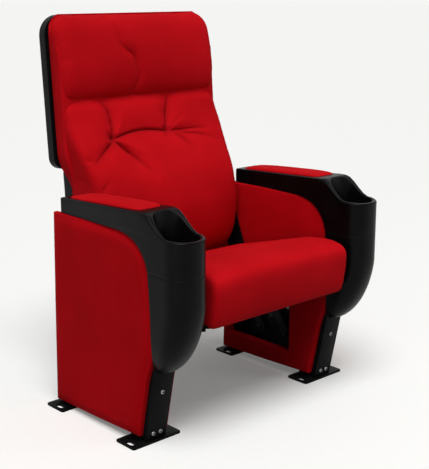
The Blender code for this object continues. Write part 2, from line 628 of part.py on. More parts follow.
for side, sign in SIDES:
    x = sign * (STANDARD_X - SPRING_PLANE)
    start, end = Vector((x, *FRONT_TOP)), Vector((x, *SPRING_ANCHOR))
    along = (end - start).normalized()
    across = Vector((1, 0, 0))
    third = along.cross(across)
    start += along * (SHAFT_R + GAP)
    end -= along * (ANCHOR_R + GAP)
    lead = 0.012
    coil = (end - start).length - 2 * lead
    steps = 8 * SPRING_TURNS
    points = [start, start + along * 0.006]
    for i in range(steps + 1):
        grow = min(1.0, i / 5, (steps - i) / 5)
        angle = 2 * math.pi * SPRING_TURNS * i / steps
        points.append(start + along * (lead + coil * i / steps)
                      + SPRING_R * grow * (math.cos(angle) * across + math.sin(angle) * third))
    points += [end - along * 0.006, end]
    curve = bpy.data.curves.new("spring", "CURVE")
    curve.dimensions = "3D"
    curve.bevel_depth = SPRING_WIRE
    curve.bevel_resolution = 1
    curve.use_fill_caps = True
    spline = curve.splines.new("POLY")
    spline.points.add(len(points) - 1)
    for point, place in zip(spline.points, points):
        point.co = (*place, 1)
    pitch = coil / SPRING_TURNS
    if side == "left":
        print("spring self-gap mm", round(1000 * (pitch - 2 * SPRING_WIRE), 2))
    body = bpy.data.objects.new(f"return_spring_{side}", curve)
    body.parent = root
    chair.objects.link(body)
    steel = bpy.data.materials.new(body.name)
    steel.use_nodes = True
    curve.materials.append(steel)

# Seat: rails, shaft, cover, board and cushion
def seat_base(y):
    return SEAT_BASE_Z + SEAT_SLOPE * (y - SEAT_BASE_Y)


SHEAR = Matrix(((1, 0, 0, 0), (0, 1, 0, 0), (0, SEAT_SLOPE, 1, SEAT_BASE_Z - SEAT_SLOPE * SEAT_BASE_Y),
                (0, 0, 0, 1)))
rail_drop = BOARD_THICK + COVER_THICK + 3 * GAP


def rail_top(y):
    return seat_base(y) - rail_drop


lobe = 0.015
rail = [(-0.06, rail_top(-0.06)), (-0.06, rail_top(-0.06) - 0.018)]
rail += arc(FRONT_TOP, lobe, 235, 270, 3) + arc(REAR_TOP, lobe, 270, 405, 8)
rail += [(SEAT_REAR - 0.004, rail_top(SEAT_REAR - 0.004))]
for side, sign in SIDES:
    mesh = side_slab(rail, sign * RAIL_X, RAIL_THICK,
                     (ring(FRONT_TOP, SHAFT_R + GAP), ring(REAR_TOP, SHAFT_R + GAP),
                      ring(HINGE, HINGE_R + GAP)))
    piece(f"seat_rail_{side}", mesh, seat, BLACK_STEEL)
shaft_half = ARM_PLATE_X + ARM_PLATE_THICK / 2 + 0.0006
piece("hinge_shaft", rod(-shaft_half, shaft_half, HINGE, HINGE_R), seat, BRIGHT_STEEL)

layers = (("seat_under_cover", 0.004, BOARD_THICK + 2 * GAP + COVER_THICK / 2, COVER_THICK, BLACK_PLASTIC),
          ("seat_board", 0.007, GAP + BOARD_THICK / 2, BOARD_THICK, BLACK_PLASTIC))
for name, inset, drop, thick, look in layers:
    half = SEAT_HALF - inset
    outline = rounded_box(-half, half, SEAT_BASE_Y + inset, SEAT_REAR - inset, 0.03, 4)
    mesh = slab(outline, thick)
    mesh.transform(SHEAR @ Matrix.Translation((0, 0, -drop)))
    piece(name, mesh, seat, look)

SEAT_TOP = ((-0.121, 0.411), (-0.096, 0.430), (-0.060, 0.4365), (-0.01, 0.431), (0.05, 0.416),
            (0.12, 0.397), (0.20, 0.376), (0.255, 0.361), (SEAT_REAR - 0.008, 0.343))
SEAT_NOSE = ((-0.104, 0.0), (-0.119, 0.020), (-0.127, 0.042), (SEAT_FRONT, 0.070), (-0.129, 0.086))
profile = [(y, seat_base(SEAT_BASE_Y) + h) for y, h in SEAT_NOSE] + list(SEAT_TOP)
profile += [(SEAT_REAR, 0.318), (SEAT_REAR, seat_base(SEAT_REAR) + 0.006),
            (SEAT_REAR - 0.006, seat_base(SEAT_REAR - 0.006))]
profile += [(y, seat_base(y)) for y in (0.2, 0.1, 0.0, -0.07)]
middle = Vector((0.08, 0.345))
rings = []
for t in (-1, -0.985, -0.94, -0.86, -0.72, -0.5, -0.25, 0, 0.25, 0.5, 0.72, 0.86, 0.94, 0.985, 1):
    x = t * SEAT_HALF
    crown = 0.010 * (1 - t * t) - 0.004
    pull = 0.018 * max(0.0, (abs(t) - 0.86) / 0.14) ** 3
    points = []
    for y, z in profile:
        lift = min(1.0, max(0.0, (z - seat_base(y)) / 0.09))
        front = blend(-y, 0.04, 0.11)
        points.append((x, y + pull * (front if y < 0.1 else -0.6 * blend(y, 0.2, 0.28)) * lift
                       - 0.4 * crown * front * lift,
                       z + (crown - 0.8 * pull) * lift))
    rings.append(points)
piece("seat_cushion", loft(rings), seat, RED_FABRIC)

# Back: arms, tube, board, cushions, shells and their fasteners
def from_back(u, v):
    """A place up the back and behind its datum line, in chair axes."""
    return Vector((BACK_DATUM.x + u * math.sin(BACK_LEAN) + v * math.cos(BACK_LEAN),
                   BACK_DATUM.y + u * math.cos(BACK_LEAN) - v * math.sin(BACK_LEAN)))


def pin_in_back(swing):
    """Where the fixed pivot pin lies in the back when the links have swung."""
    lean = LINK_LEAN - swing
    moved = LINK_LENGTH * (Vector((math.sin(lean), math.cos(lean))) - LINK_AXIS)
    away = BACK_PIN - HINGE - moved
    turn = swing * RATIO
    return HINGE + Vector((away.x * math.cos(turn) - away.y * math.sin(turn),
                           away.y * math.cos(turn) + away.x * math.sin(turn)))


path = [pin_in_back(LINK_SWING * i / 8) for i in range(9)]
hole_at = Vector(((max(p.x for p in path) + min(p.x for p in path)) / 2,
                  (max(p.y for p in path) + min(p.y for p in path)) / 2))
hole_r = SHAFT_R + GAP + max((p - hole_at).length for p in path)
tube_at = from_back(BASE_TUBE_U, BASE_TUBE_V)
arm_outline = hull_outline([(HINGE, 0.017), (tube_at, 0.017), (BACK_PIN, 0.022)])
for side, sign in SIDES:
    mesh = side_slab(arm_outline, sign * ARM_PLATE_X, ARM_PLATE_THICK,
                     (ring(HINGE, HINGE_R + GAP), ring(hole_at, hole_r)))
    piece(f"back_arm_{side}", mesh, back, BLACK_STEEL)
tube_half = ARM_PLATE_X - ARM_PLATE_THICK / 2 - GAP
piece("back_base_tube", rod(-tube_half, tube_half, tube_at, BASE_TUBE_R), back, BLACK_STEEL)

STAND = Matrix.Rotation(math.pi / 2, 4, "X")
BOARD_LOW, BOARD_HIGH = BACK_LOW + 0.022, HEAD_TOP - 0.022
SHELL_LOW = (STEP_LOW + STEP_HIGH) / 2 + 0.012


def board_outline(grow):
    wide, waist, radius = BACK_HALF - 0.014 + grow, BACK_WAIST - 0.012 + grow, 0.05
    low, high, step = BOARD_LOW - grow, BOARD_HIGH + grow, STEP_HIGH + 0.012 - grow
    return (arc((wide - radius, high - radius), radius, 0, 90, 4)
            + arc((radius - wide, high - radius), radius, 90, 180, 4)
            + [(-wide, step), (-waist, step - 0.02), (-waist, low), (waist, low),
               (waist, step - 0.02), (wide, step)])


def common(first, second):
    """The space that two meshes share, as a mesh."""
    one, two = bpy.data.objects.new("one", first), bpy.data.objects.new("two", second)
    for thing in (one, two):
        bpy.context.scene.collection.objects.link(thing)
    modifier = one.modifiers.new("common", "BOOLEAN")
    modifier.operation = "INTERSECT"
    modifier.solver = "EXACT"
    modifier.object = two
    shape = one.evaluated_get(bpy.context.evaluated_depsgraph_get())
    mesh = bpy.data.meshes.new_from_object(shape)
    for thing in (one, two):
        bpy.data.objects.remove(thing)
    return mesh


def board_mesh(grow, thickness):
    """Moulded board: a jogged side profile under a stepped front outline."""
    low_v, high_v = BACK_BOARD_V - grow, UPPER_BOARD_V - grow
    front = [(low_v, -0.3), (low_v, SHELL_LOW + 0.006 + grow), (high_v, SHELL_LOW + 0.040 + grow),
             (high_v, 0.7)]
    side = front + [(v + thickness, u) for v, u in front[::-1]]
    face = slab(board_outline(grow), 0.6)
    face.transform(STAND)
    return common(side_slab(side, 0, 0.6), face)


piece("back_board", board_mesh(0, BACK_BOARD_THICK), back_datum, PLYWOOD)


def half_width(u):
    """Half-width of the upholstered back at a height, rounded at the two top corners."""
    width = BACK_WAIST + (BACK_HALF - BACK_WAIST) * blend(u, STEP_LOW, STEP_HIGH)
    over = u - (HEAD_TOP - TOP_CORNER)
    if over > 0:
        width -= TOP_CORNER - math.sqrt(max(0.0, TOP_CORNER ** 2 - over ** 2)) * 0.999
    under = (BACK_LOW + 0.03) - u
    if under > 0:
        width -= 0.008 * (under / 0.03) ** 2
    return width


# Creases run from the two tufts: to the head seam, to each other and out to the sides
LEFT_TUFT, RIGHT_TUFT, BETWEEN = (-TUFT_X, TUFT_U), (TUFT_X, TUFT_U), (0.0, TUFT_U + 0.026)
CREASES = (
    (LEFT_TUFT, (-TUFT_X - 0.022, TUFT_U + 0.086)), (RIGHT_TUFT, (TUFT_X + 0.012, TUFT_U + 0.086)),
    (LEFT_TUFT, BETWEEN), (BETWEEN, RIGHT_TUFT),
    (LEFT_TUFT, (0.012, TUFT_U - 0.101)), (LEFT_TUFT, (-TUFT_X - 0.057, TUFT_U - 0.061)),
    (RIGHT_TUFT, (TUFT_X + 0.142, TUFT_U + 0.009)), (RIGHT_TUFT, (TUFT_X + 0.072, TUFT_U - 0.051)))


def crease_depth(x, u):
    """Draw the cover in along the creases and at the two tufts."""
    depth = 0.0
    for (ax, au), (bx, bu) in CREASES:
        run, rise = bx - ax, bu - au
        t = min(1.0, max(0.0, ((x - ax) * run + (u - au) * rise) / (run * run + rise * rise)))
        gap = math.hypot(x - ax - t * run, u - au - t * rise)
        depth = max(depth, 0.010 * (1 - 0.5 * t) * math.exp(-(gap / 0.012) ** 2))
    tuft = math.hypot(abs(x) - TUFT_X, u - TUFT_U)
    return depth + 0.022 * math.exp(-(tuft / 0.024) ** 2)


def cushion(table, heights, creased):
    """Loft a back cushion: crowned front, rounded sides and a flat rear."""
    rings = []
    spread = [-1, -0.97, -0.9, -0.8, -0.68, -0.55, -0.44, -0.355, -0.27, -0.14, 0]
    spread += [-s for s in spread[-2::-1]]
    for u in heights:
        width = half_width(u)
        rear = LOWER_REAR + (UPPER_REAR - LOWER_REAR) * blend(u, SHELL_LOW, SHELL_LOW + 0.001)
        line = smooth(table, (u - heights[0]) / (heights[-1] - heights[0]))
        side_v = min(rear - 0.012, line + 0.036)
        ends = min(1.0, (u - heights[0]) / 0.03, (heights[-1] - u) / 0.03)
        points = []
        for s in spread:
            bulge = (1 - abs(s) ** 8) ** 0.4
            front = line - (0.004 + 0.006 * (1 - s * s)) * max(0.0, ends)
            v = side_v + (front - side_v) * bulge
            if creased:
                v += crease_depth(s * width, u) * bulge
            points.append((s * width, min(v, rear - 0.004), u))
        inset = 0.004
        points += [(width - inset, (side_v + rear) / 2, u), (width, rear, u),
                   (-width, rear, u), (inset - width, (side_v + rear) / 2, u)]
        rings.append(points)
    return loft(rings)


low_heights = [BACK_LOW + rise for rise in (0, 0.008, 0.031, 0.068, 0.115, 0.165, 0.205)]
low_heights += [STEP_LOW, STEP_LOW + 0.020, SHELL_LOW, SHELL_LOW + 0.001, STEP_HIGH + 0.002]
low_heights += [TUFT_U + rise for rise in (-0.048, -0.036, -0.024, -0.013, 0, 0.013, 0.025, 0.039, 0.059)]
low_heights += [HEAD_SEAM - drop for drop in (0.0185, 0.0075, GAP)]
low_heights.sort()
head_heights = [HEAD_SEAM + rise for rise in (0, 0.0075, 0.0185, 0.0385, 0.0785, 0.1235)]
head_heights += [HEAD_TOP - drop for drop in (0.0675, 0.0405, 0.0225, 0.0105, 0.0035, 0)]
for name, table, heights, creased in (("back_cushion", BACK_PROFILE, low_heights, True),
                                      ("head_cushion", HEAD_PROFILE, head_heights, False)):
    body = piece(name, cushion(table, heights, creased), back_datum, RED_FABRIC)
    cut(body, board_mesh(GAP, 0.2))


def shell_rings(half, low, high, corner_low, corner_high, front_v, depth):
    """Rings of a rounded tray open to the front."""
    rings = []
    for inset, v in ((0, 0), (0, 0.6), (SHELL_EDGE / 3, 0.86), (SHELL_EDGE, 1.0)):
        a, b, c = half - inset, low + inset, high - inset
        r0, r1 = corner_low - inset * 0.8, corner_high - inset * 0.8
        outline = (arc((a - r1, c - r1), r1, 0, 90, 4) + arc((r1 - a, c - r1), r1, 90, 180, 4)
                   + arc((r0 - a, b + r0), r0, 180, 270, 3) + arc((a - r0, b + r0), r0, 270, 360, 3))
        rings.append([(x, front_v + depth * v, u) for x, u in outline])
    return rings


trays = (("back_shell", BACK_HALF + SHELL_PROUD, SHELL_LOW, HEAD_TOP - SHELL_TOP_DROP, 0.03, TOP_CORNER,
          UPPER_REAR + GAP, SHELL_DEPTH),
         ("lower_back_cover", BACK_WAIST + SHELL_PROUD, COVER_LOW, SHELL_LOW - GAP, 0.03, 0.012,
          LOWER_REAR + GAP, COVER_DEPTH))
for name, half, low, high, r0, r1, front_v, depth in trays:
    tray = loft(shell_rings(half, low, high, r0, r1, front_v, depth), cap_start=False)
    body = piece(name, tray, back_datum, BLACK_PLASTIC)
    wall = body.modifiers.new("wall", "SOLIDIFY")
    wall.thickness = SHELL_WALL
    wall.offset = -1
    bosses = bmesh.new()
    board_rear = (UPPER_BOARD_V if name == "back_shell" else BACK_BOARD_V) + BACK_BOARD_THICK + GAP
    wall_v = front_v + depth - SHELL_WALL / 2
    for boss_x in (-0.17, 0.17):
        for boss_u in (low + 0.07, high - 0.08):
            at = Matrix.Translation((boss_x, 0, boss_u)) @ Matrix.Rotation(-math.pi / 2, 4, "X")
            turned(bosses, ((0, board_rear), (0.009, board_rear), (0.009, wall_v), (0, wall_v)), at, 10)
    cut(body, finished(bosses), "UNION")
    if name == "lower_back_cover":
        r = BASE_TUBE_R + 0.002
        cut(body, box_mesh(-0.3, 0.3, LOWER_REAR - 0.02, BASE_TUBE_V + r, BASE_TUBE_U - r, BASE_TUBE_U + r))
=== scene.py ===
import math

import bmesh
import bpy
import numpy as np
from mathutils import Matrix, Vector


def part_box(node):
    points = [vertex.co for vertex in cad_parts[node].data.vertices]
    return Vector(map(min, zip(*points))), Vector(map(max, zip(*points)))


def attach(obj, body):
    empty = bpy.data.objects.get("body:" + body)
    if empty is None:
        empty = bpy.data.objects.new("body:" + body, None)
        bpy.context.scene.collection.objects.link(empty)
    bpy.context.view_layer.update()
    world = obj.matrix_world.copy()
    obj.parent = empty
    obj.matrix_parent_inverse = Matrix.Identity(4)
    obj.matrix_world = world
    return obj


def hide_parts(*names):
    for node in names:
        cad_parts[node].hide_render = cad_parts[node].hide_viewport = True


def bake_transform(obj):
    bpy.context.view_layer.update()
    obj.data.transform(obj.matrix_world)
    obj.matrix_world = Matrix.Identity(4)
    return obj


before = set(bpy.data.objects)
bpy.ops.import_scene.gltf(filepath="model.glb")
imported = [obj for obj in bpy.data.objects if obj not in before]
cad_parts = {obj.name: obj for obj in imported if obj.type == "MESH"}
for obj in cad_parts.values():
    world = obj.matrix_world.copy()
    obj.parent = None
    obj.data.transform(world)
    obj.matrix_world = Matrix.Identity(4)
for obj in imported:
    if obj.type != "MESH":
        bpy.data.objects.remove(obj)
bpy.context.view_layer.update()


# Floor plates and posts
# Each standard stands on two slotted floor plates of pressed steel. Two folded posts are welded to them and
# joined by a rail under the arm, and the whole frame is powder coated in satin black.
class Level:
    """A number that changes over a surface; arithmetic on it adds Math nodes."""

    def __init__(self, finish, socket):
        self.finish = finish
        self.socket = socket

    def combine(self, operation, first, second):
        return self.finish.node("ShaderNodeMath", {"operation": operation}, {0: first, 1: second})

    def __add__(self, other):
        return self.combine("ADD", self, other)

    def __radd__(self, other):
        return self.combine("ADD", other, self)

    def __mul__(self, other):
        return self.combine("MULTIPLY", self, other)

    def __rmul__(self, other):
        return self.combine("MULTIPLY", other, self)


class Finish:
    """One material: node() adds any node, surface() sets colour and roughness, bump() the relief."""

    def __init__(self, name, constants):
        self.material = bpy.data.materials.new(name)
        self.material.use_nodes = True
        self.tree = self.material.node_tree
        self.shader = self.tree.nodes["Principled BSDF"]
        for socket, value in constants.items():
            self.shader.inputs[socket].default_value = value
        self.place = self.node("ShaderNodeTexCoord", {}, {}, "Object")

    def node(self, kind, settings, inputs, output=0):
        made = self.tree.nodes.new(kind)
        for key, value in settings.items():
            setattr(made, key, value)
        for key, value in inputs.items():
            self.join(value, made.inputs[key])
        return Level(self, made.outputs[output])

    def join(self, value, socket):
        if isinstance(value, Level):
            self.tree.links.new(value.socket, socket)
        else:
            socket.default_value = value

    def noise(self, scale, detail=2.0, place=None):
        inputs = {"Vector": place or self.place, "Scale": scale, "Detail": detail}
        return self.node("ShaderNodeTexNoise", {}, inputs)

    def between(self, value, low, high):
        """0 below low, 1 above high, and a soft step from one to the other."""
        inputs = {"Value": value, "From Min": low, "From Max": high}
        return self.node("ShaderNodeMapRange", {"interpolation_type": "SMOOTHSTEP"}, inputs)

    def mix(self, first, second, share):
        return self.node("ShaderNodeMix", {"data_type": "RGBA"}, {0: share, 6: first, 7: second}, 2)

    def feed(self, socket, value):
        self.join(value, self.shader.inputs[socket])

    def surface(self, first, second, share, roughness):
        self.feed("Base Color", self.mix(paint(*first), paint(*second), share))
        self.feed("Roughness", roughness)

    def bump(self, height, strength, distance):
        inputs = {"Height": height, "Strength": strength, "Distance": distance}
        self.feed("Normal", self.node("ShaderNodeBump", {}, inputs))


def paint(red, green, blue):
    """A colour as it is read off a screen, 0 to 255, as the shader wants it."""
    linear = []
    for part in (red, green, blue):
        share = part / 255.0
        linear.append(share / 12.92 if share <= 0.04045 else ((share + 0.055) / 1.055) ** 2.4)
    return (*linear, 1.0)


def powder_coat(name, dark, worn):
    finish = Finish(name, {"Specular IOR Level": 0.04})
    dust = finish.noise(11.0, 5.0)
    finish.surface(dark, worn, finish.between(dust, 0.42, 0.72), 0.40 + 0.16 * dust)
    finish.bump(finish.noise(780.0, 2.0), 0.25, 0.0004)
    return finish


def mesh_of(name, bm):
    mesh = bpy.data.meshes.new(name)
    bm.to_mesh(mesh)
    bm.free()
    return mesh


def placed(name, data):
    made = bpy.data.objects.new(name, data)
    bpy.context.scene.collection.objects.link(made)
    return made


def piece(name, bm, finish, body, stands_for=(), crease=38.0):
    """A finished piece from its bmesh: outward faces, its material, its body and what it stands for."""
    bmesh.ops.remove_doubles(bm, verts=bm.verts, dist=1e-5)
    bmesh.ops.recalc_face_normals(bm, faces=bm.faces)
    for face in bm.faces:
        face.smooth = True
    for edge in bm.edges:
        edge.smooth = edge.calc_face_angle(0.0) < math.radians(crease)
    made = placed(name, mesh_of(name, bm))
    made.data.materials.append(finish.material)
    if body:
        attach(made, body)
    if stands_for:
        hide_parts(*stands_for)
    return made


def solid_of(node):
    """The node's own solid as a bmesh, its corners merged."""
    bm = bmesh.new()
    bm.from_mesh(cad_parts[node].data)
    bmesh.ops.remove_doubles(bm, verts=bm.verts, dist=2e-5)
    return bm


def eased(node, body, finish, width):
    """The node's own solid with its sharp edges eased."""
    flat_angle = math.radians(1.5)
    sharp_angle = math.radians(40)
    bm = solid_of(node)
    bmesh.ops.dissolve_limit(bm, angle_limit=flat_angle, verts=bm.verts, edges=bm.edges)
    sharp = [edge for edge in bm.edges if edge.is_manifold and edge.calc_face_angle() > sharp_angle]
    bmesh.ops.bevel(bm, geom=sharp, offset=width, affect="EDGES", segments=2, profile=0.5,
                    material=-1, clamp_overlap=True)
    return piece(f"{node}_eased", bm, finish, body, (node,))


frame_coat = powder_coat("satin_black_powder_coat", (8, 8, 9), (18, 18, 19))
bar_edge = 0.0009
sides = (("left", -1), ("right", 1))
for side, _ in sides:
    for node in ("front_foot", "rear_foot", "front_post", "rear_post", "top_rail"):
        eased(f"{node}_{side}", "standards", frame_coat, bar_edge)


# Post screws
# Three zinc-plated socket screws, one above two, are driven into the face of each front post near its foot.
# Their domed heads stand on the coated steel and have gone dull.
def bright_zinc(name, shade):
    finish = Finish(name, {"Metallic": 1.0})
    stain = finish.noise(160.0, 4.0)
    finish.surface(shade, (158, 158, 155), finish.between(stain, 0.35, 0.7), 0.22 + 0.22 * stain)
    finish.bump(finish.noise(1500.0, 2.0), 0.12, 0.0002)
    return finish


def socket_screw(bm, head, socket, height):
    """A domed screw head standing on the XY plane, its middle sunk as a six-sided socket."""
    section = ((head, 0.0), (head, height * 0.35), (head * 0.86, height * 0.78), (socket * 1.35, height),
               (socket, height), (socket * 0.94, height * 0.3), (0.0, height * 0.3))
    points = [bm.verts.new((radius, 0.0, rise)) for radius, rise in section]
    edges = [bm.edges.new(pair) for pair in zip(points, points[1:])]
    bmesh.ops.spin(bm, geom=points + edges, cent=(0, 0, 0), axis=(0, 0, 1), angle=math.tau, steps=24,
                   use_merge=True)
    bmesh.ops.remove_doubles(bm, verts=bm.verts, dist=1e-6)
    for vert in bm.verts:
        radius = vert.co.xy.length
        if socket * 0.9 < radius < socket * 1.1:
            turn = math.atan2(vert.co.y, vert.co.x) % (math.pi / 3) - math.pi / 6
            vert.co.xy *= math.cos(math.pi / 6) / math.cos(turn)


def fitted_screw(name, sizes, place, finish, body, stands_for=()):
    """A screw head of the given head and socket radius and height, where a matrix puts it."""
    bm = bmesh.new()
    socket_screw(bm, *sizes)
    bmesh.ops.transform(bm, verts=bm.verts, matrix=place)
    piece(name, bm, finish, body, stands_for)


screw_zinc = bright_zinc("bright_zinc_screw", (96, 96, 95))
screw_height = 0.0034
screw_sunk = 0.001
facing_front = Matrix.Rotation(math.radians(90), 4, "X")
for side, _ in sides:
    for place in ("upper", "lower_left", "lower_right"):
        node = f"{place}_post_screw_{side}"
        low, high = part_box(node)
        head = (high.x - low.x) / 2
        middle = Vector(((low.x + high.x) / 2, high.y - screw_sunk, (low.z + high.z) / 2))
        sizes = (head, head * 0.5, screw_height)
        fitted_screw(f"{node}_head", sizes, Matrix.Translation(middle) @ facing_front, screw_zinc,
                     "standards", (node,))


# Rocking mechanism
# A steel plate inside each standard carries two links, which swing on studs between rubber stops. The
# links are black bar with a plated bolt head on each lower pivot; another bolt holds the front stop.
# The cross shafts and the pins of the back are drawn bright steel.
def drawn_steel(name):
    finish = Finish(name, {"Metallic": 1.0})
    stretched = finish.node("ShaderNodeMapping", {}, {"Vector": finish.place, "Scale": (6.0, 240.0, 240.0)})
    draw = finish.noise(4.0, 4.0, stretched)
    finish.surface((120, 120, 120), (190, 190, 188), draw, 0.24 + 0.2 * draw)
    finish.bump(draw, 0.1, 0.0002)
    return finish


def stop_rubber(name):
    finish = Finish(name, {"Specular IOR Level": 0.3})
    bloom = finish.noise(120.0, 4.0)
    finish.surface((20, 20, 20), (44, 43, 42), bloom, 0.62 + 0.2 * bloom)
    finish.bump(finish.noise(900.0, 2.0), 0.3, 0.0004)
    return finish


link_paint = powder_coat("black_link_paint", (26, 26, 28), (48, 48, 50))
shaft_steel = drawn_steel("drawn_shaft_steel")
buffer_rubber = stop_rubber("moulded_stop_rubber")
sheet_edge = 0.0006
rubber_edge = 0.0012
for side, _ in sides:
    eased(f"mechanism_plate_{side}", "standards", frame_coat, sheet_edge)
    eased(f"back_pivot_pin_{side}", "standards", shaft_steel, sheet_edge)
    for stop in ("rest", "limit"):
        eased(f"{stop}_buffer_{side}", "standards", buffer_rubber, rubber_edge)
    for swing in ("front", "rear"):
        eased(f"{swing}_link_{side}", f"{swing}_swing", link_paint, bar_edge)
link_end = 0.0134
link_bolt = (0.0065, 0.0030, 0.0040)
buffer_screw = (0.0050, 0.0024, 0.0030)
for side, sign in sides:
    facing_in = Matrix.Rotation(math.radians(-90 * sign), 4, "Y")
    for swing in ("front", "rear"):
        low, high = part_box(f"{swing}_link_{side}")
        face = Vector((low.x if sign > 0 else high.x, low.y + link_end, low.z + link_end))
        fitted_screw(f"{swing}_link_bolt_{side}", link_bolt, Matrix.Translation(face) @ facing_in,
                     screw_zinc, f"{swing}_swing")
    low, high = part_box(f"limit_buffer_{side}")
    face = Vector((low.x if sign > 0 else high.x, (low.y + high.y) / 2, (low.z + high.z) / 2))
    fitted_screw(f"limit_buffer_screw_{side}", buffer_screw, Matrix.Translation(face) @ facing_in,
                 screw_zinc, "standards")
for swing in ("front", "rear"):
    eased(f"{swing}_cross_shaft", f"{swing}_swing", shaft_steel, bar_edge)

# Return springs
# A close coil of zinc-plated spring wire on each side draws the front link back to rest. Its ends are bent
# to hooks round the cross shaft and round a stud on the mechanism plate.
spring_zinc = bright_zinc("plated_spring_wire", (130, 130, 126))
coil_turns = 15
coil_start = 0.020
turn_steps = 20
wire = 0.0011
wire_sides = 8
hook_sweep = math.pi * 1.35
hook_steps = 18
stud_inset = (0.007, 0.006)
shaft_low, shaft_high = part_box("front_cross_shaft")
shaft = (shaft_low + shaft_high) / 2
for side, _ in sides:
    low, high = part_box(f"return_spring_{side}")
    radius = (high.x - low.x) / 2 - wire
    middle_x = (low.x + high.x) / 2
    hook = Vector((middle_x, shaft.y, shaft.z))
    stud = Vector((middle_x, high.y - stud_inset[0], low.z + stud_inset[1]))
    reach = stud - hook
    along = reach.normalized()
    across = Vector((1, 0, 0))
    coil_length = reach.length - 2 * coil_start
    steps = coil_turns * turn_steps
    bm = bmesh.new()
    ring = bmesh.ops.create_circle(bm, segments=wire_sides, radius=wire)["verts"]
    bmesh.ops.transform(bm, verts=ring, matrix=Matrix.Translation((radius, 0, 0)) @ facing_front)
    bmesh.ops.spin(bm, geom=ring + list(bm.edges), cent=(0, 0, 0), axis=(0, 0, 1),
                   dvec=(0, 0, coil_length / steps), angle=math.tau * coil_turns, steps=steps)
    for turn, start in ((1, 0.0), (-1, coil_length)):
        circle = bmesh.ops.create_circle(bm, segments=wire_sides, radius=wire)["verts"]
        bmesh.ops.transform(bm, verts=circle, matrix=Matrix.Translation((radius, 0, start)))
        rim = [edge for edge in bm.edges if all(vert in circle for vert in edge.verts)]
        bmesh.ops.spin(bm, geom=circle + rim, cent=(0, 0, start - turn * radius * 0.2), axis=(0, turn, 0),
                       angle=hook_sweep, steps=hook_steps)
    upright = Matrix((across, along.cross(across), along)).transposed().to_4x4()
    bmesh.ops.transform(bm, verts=bm.verts, matrix=Matrix.Translation(hook + along * coil_start) @ upright)
    spring = piece(f"return_coil_{side}", bm, spring_zinc, None, (f"return_spring_{side}",))
    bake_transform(spring)


# Side panels
# Boards wrapped in thin foam and the chair's red cloth are clipped to both faces of each standard. The
# inner one has a window for the mechanism. Both are drawn tight, with rounded edges and a slight crown,
# and their front edges lap a little over the posts beside the mouldings.
def chair_cloth(name, lit, deep, thread):
    """Red woven cloth: fine crossed threads, fuzz, a little slack, faint uneven dye, and painted shade that
    darkens it in marked creases and tufts.
    """
    finish = Finish(name, {"Sheen Weight": 0.05, "Sheen Roughness": 0.4, "Sheen Tint": paint(255, 60, 60),
                           "Specular IOR Level": 0.08})
    dye = finish.noise(7.0, 4.0)
    fuzz = finish.noise(620.0, 3.0)
    weave = 0.0
    for axis in ("X", "Y", "Z"):
        along = finish.node("ShaderNodeSeparateXYZ", {}, {0: finish.place}, axis)
        turns = along * (math.tau / thread)
        weave = weave + finish.node("ShaderNodeMath", {"operation": "SINE"}, {0: turns})
    tone = finish.between(0.7 * dye + 0.3 * fuzz, 0.34, 0.66)
    # Painted shade: cloth marked in the creases and tufts of the cushions is mixed towards dark red (62, 0,
    # 5).
    painted_fold_shade = finish.node("ShaderNodeAttribute", {"attribute_name": "painted_fold_shade"}, {}, "Fac")
    cloth = finish.mix(paint(*deep), paint(*lit), tone)
    finish.feed("Base Color", finish.mix(cloth, paint(62, 0, 5), 0.6 * painted_fold_shade))
    finish.feed("Roughness", 0.78 + 0.14 * fuzz)
    slack = finish.noise(24.0, 2.0)
    finish.bump(weave * 0.16 + fuzz + slack * 2.2, 0.35, 0.0006)
    return finish


def smooth_step(value):
    share = min(1.0, max(0.0, value))
    return share * share * (3 - 2 * share)


def lapped(y, z):
    """How far the panels lap forward over the posts: along the mouldings, not at the top or the foot."""
    return panel_lap * smooth_step((corner_y - y) / 0.060) * smooth_step((z - 0.170) / 0.070)


def panel_edge(side):
    """A side's panels cut down their middle as one loop, lapped forward and raised to the moulding."""
    closest = 0.006
    low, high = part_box(f"outer_panel_{side}")
    bm = solid_of(f"outer_panel_{side}")
    cut = bmesh.ops.bisect_plane(bm, geom=list(bm.verts) + list(bm.edges) + list(bm.faces), dist=1e-6,
                                 plane_co=((low.x + high.x) / 2, 0, 0), plane_no=(1, 0, 0))["geom_cut"]
    keep = set(cut)
    bmesh.ops.delete(bm, geom=[vert for vert in bm.verts if vert not in keep], context="VERTS")
    bmesh.ops.delete(bm, geom=[edge for edge in bm.edges if edge not in keep], context="EDGES_FACES")
    bmesh.ops.remove_doubles(bm, verts=bm.verts, dist=closest)
    for vert in bm.verts:
        vert.co.y -= lapped(vert.co.y - arm_front, vert.co.z)
        vert.co.z += panel_rise * max(0.0, vert.co.z - corner_z) / corner_rise
    return bm


def drawn_out(bm, faces, keep):
    """Extrudes a region and gives the faces that are to be moved."""
    made = bmesh.ops.extrude_face_region(bm, geom=faces, use_keep_orig=keep)["geom"]
    return [part for part in made if isinstance(part, bmesh.types.BMFace)]


def verts_of(faces):
    return list({vert for face in faces for vert in face.verts})


def quarter(steps):
    """The angles of a quarter turn in even steps, both ends among them."""
    return [math.pi / 2 * i / steps for i in range(steps + 1)]


def rolled(edge):
    """The insets and lifts that take a face round a rounded edge."""
    turns = quarter(6)
    return [(edge * (math.cos(first) - math.cos(second)), edge * (math.sin(second) - math.sin(first)))
            for first, second in zip(turns, turns[1:])]


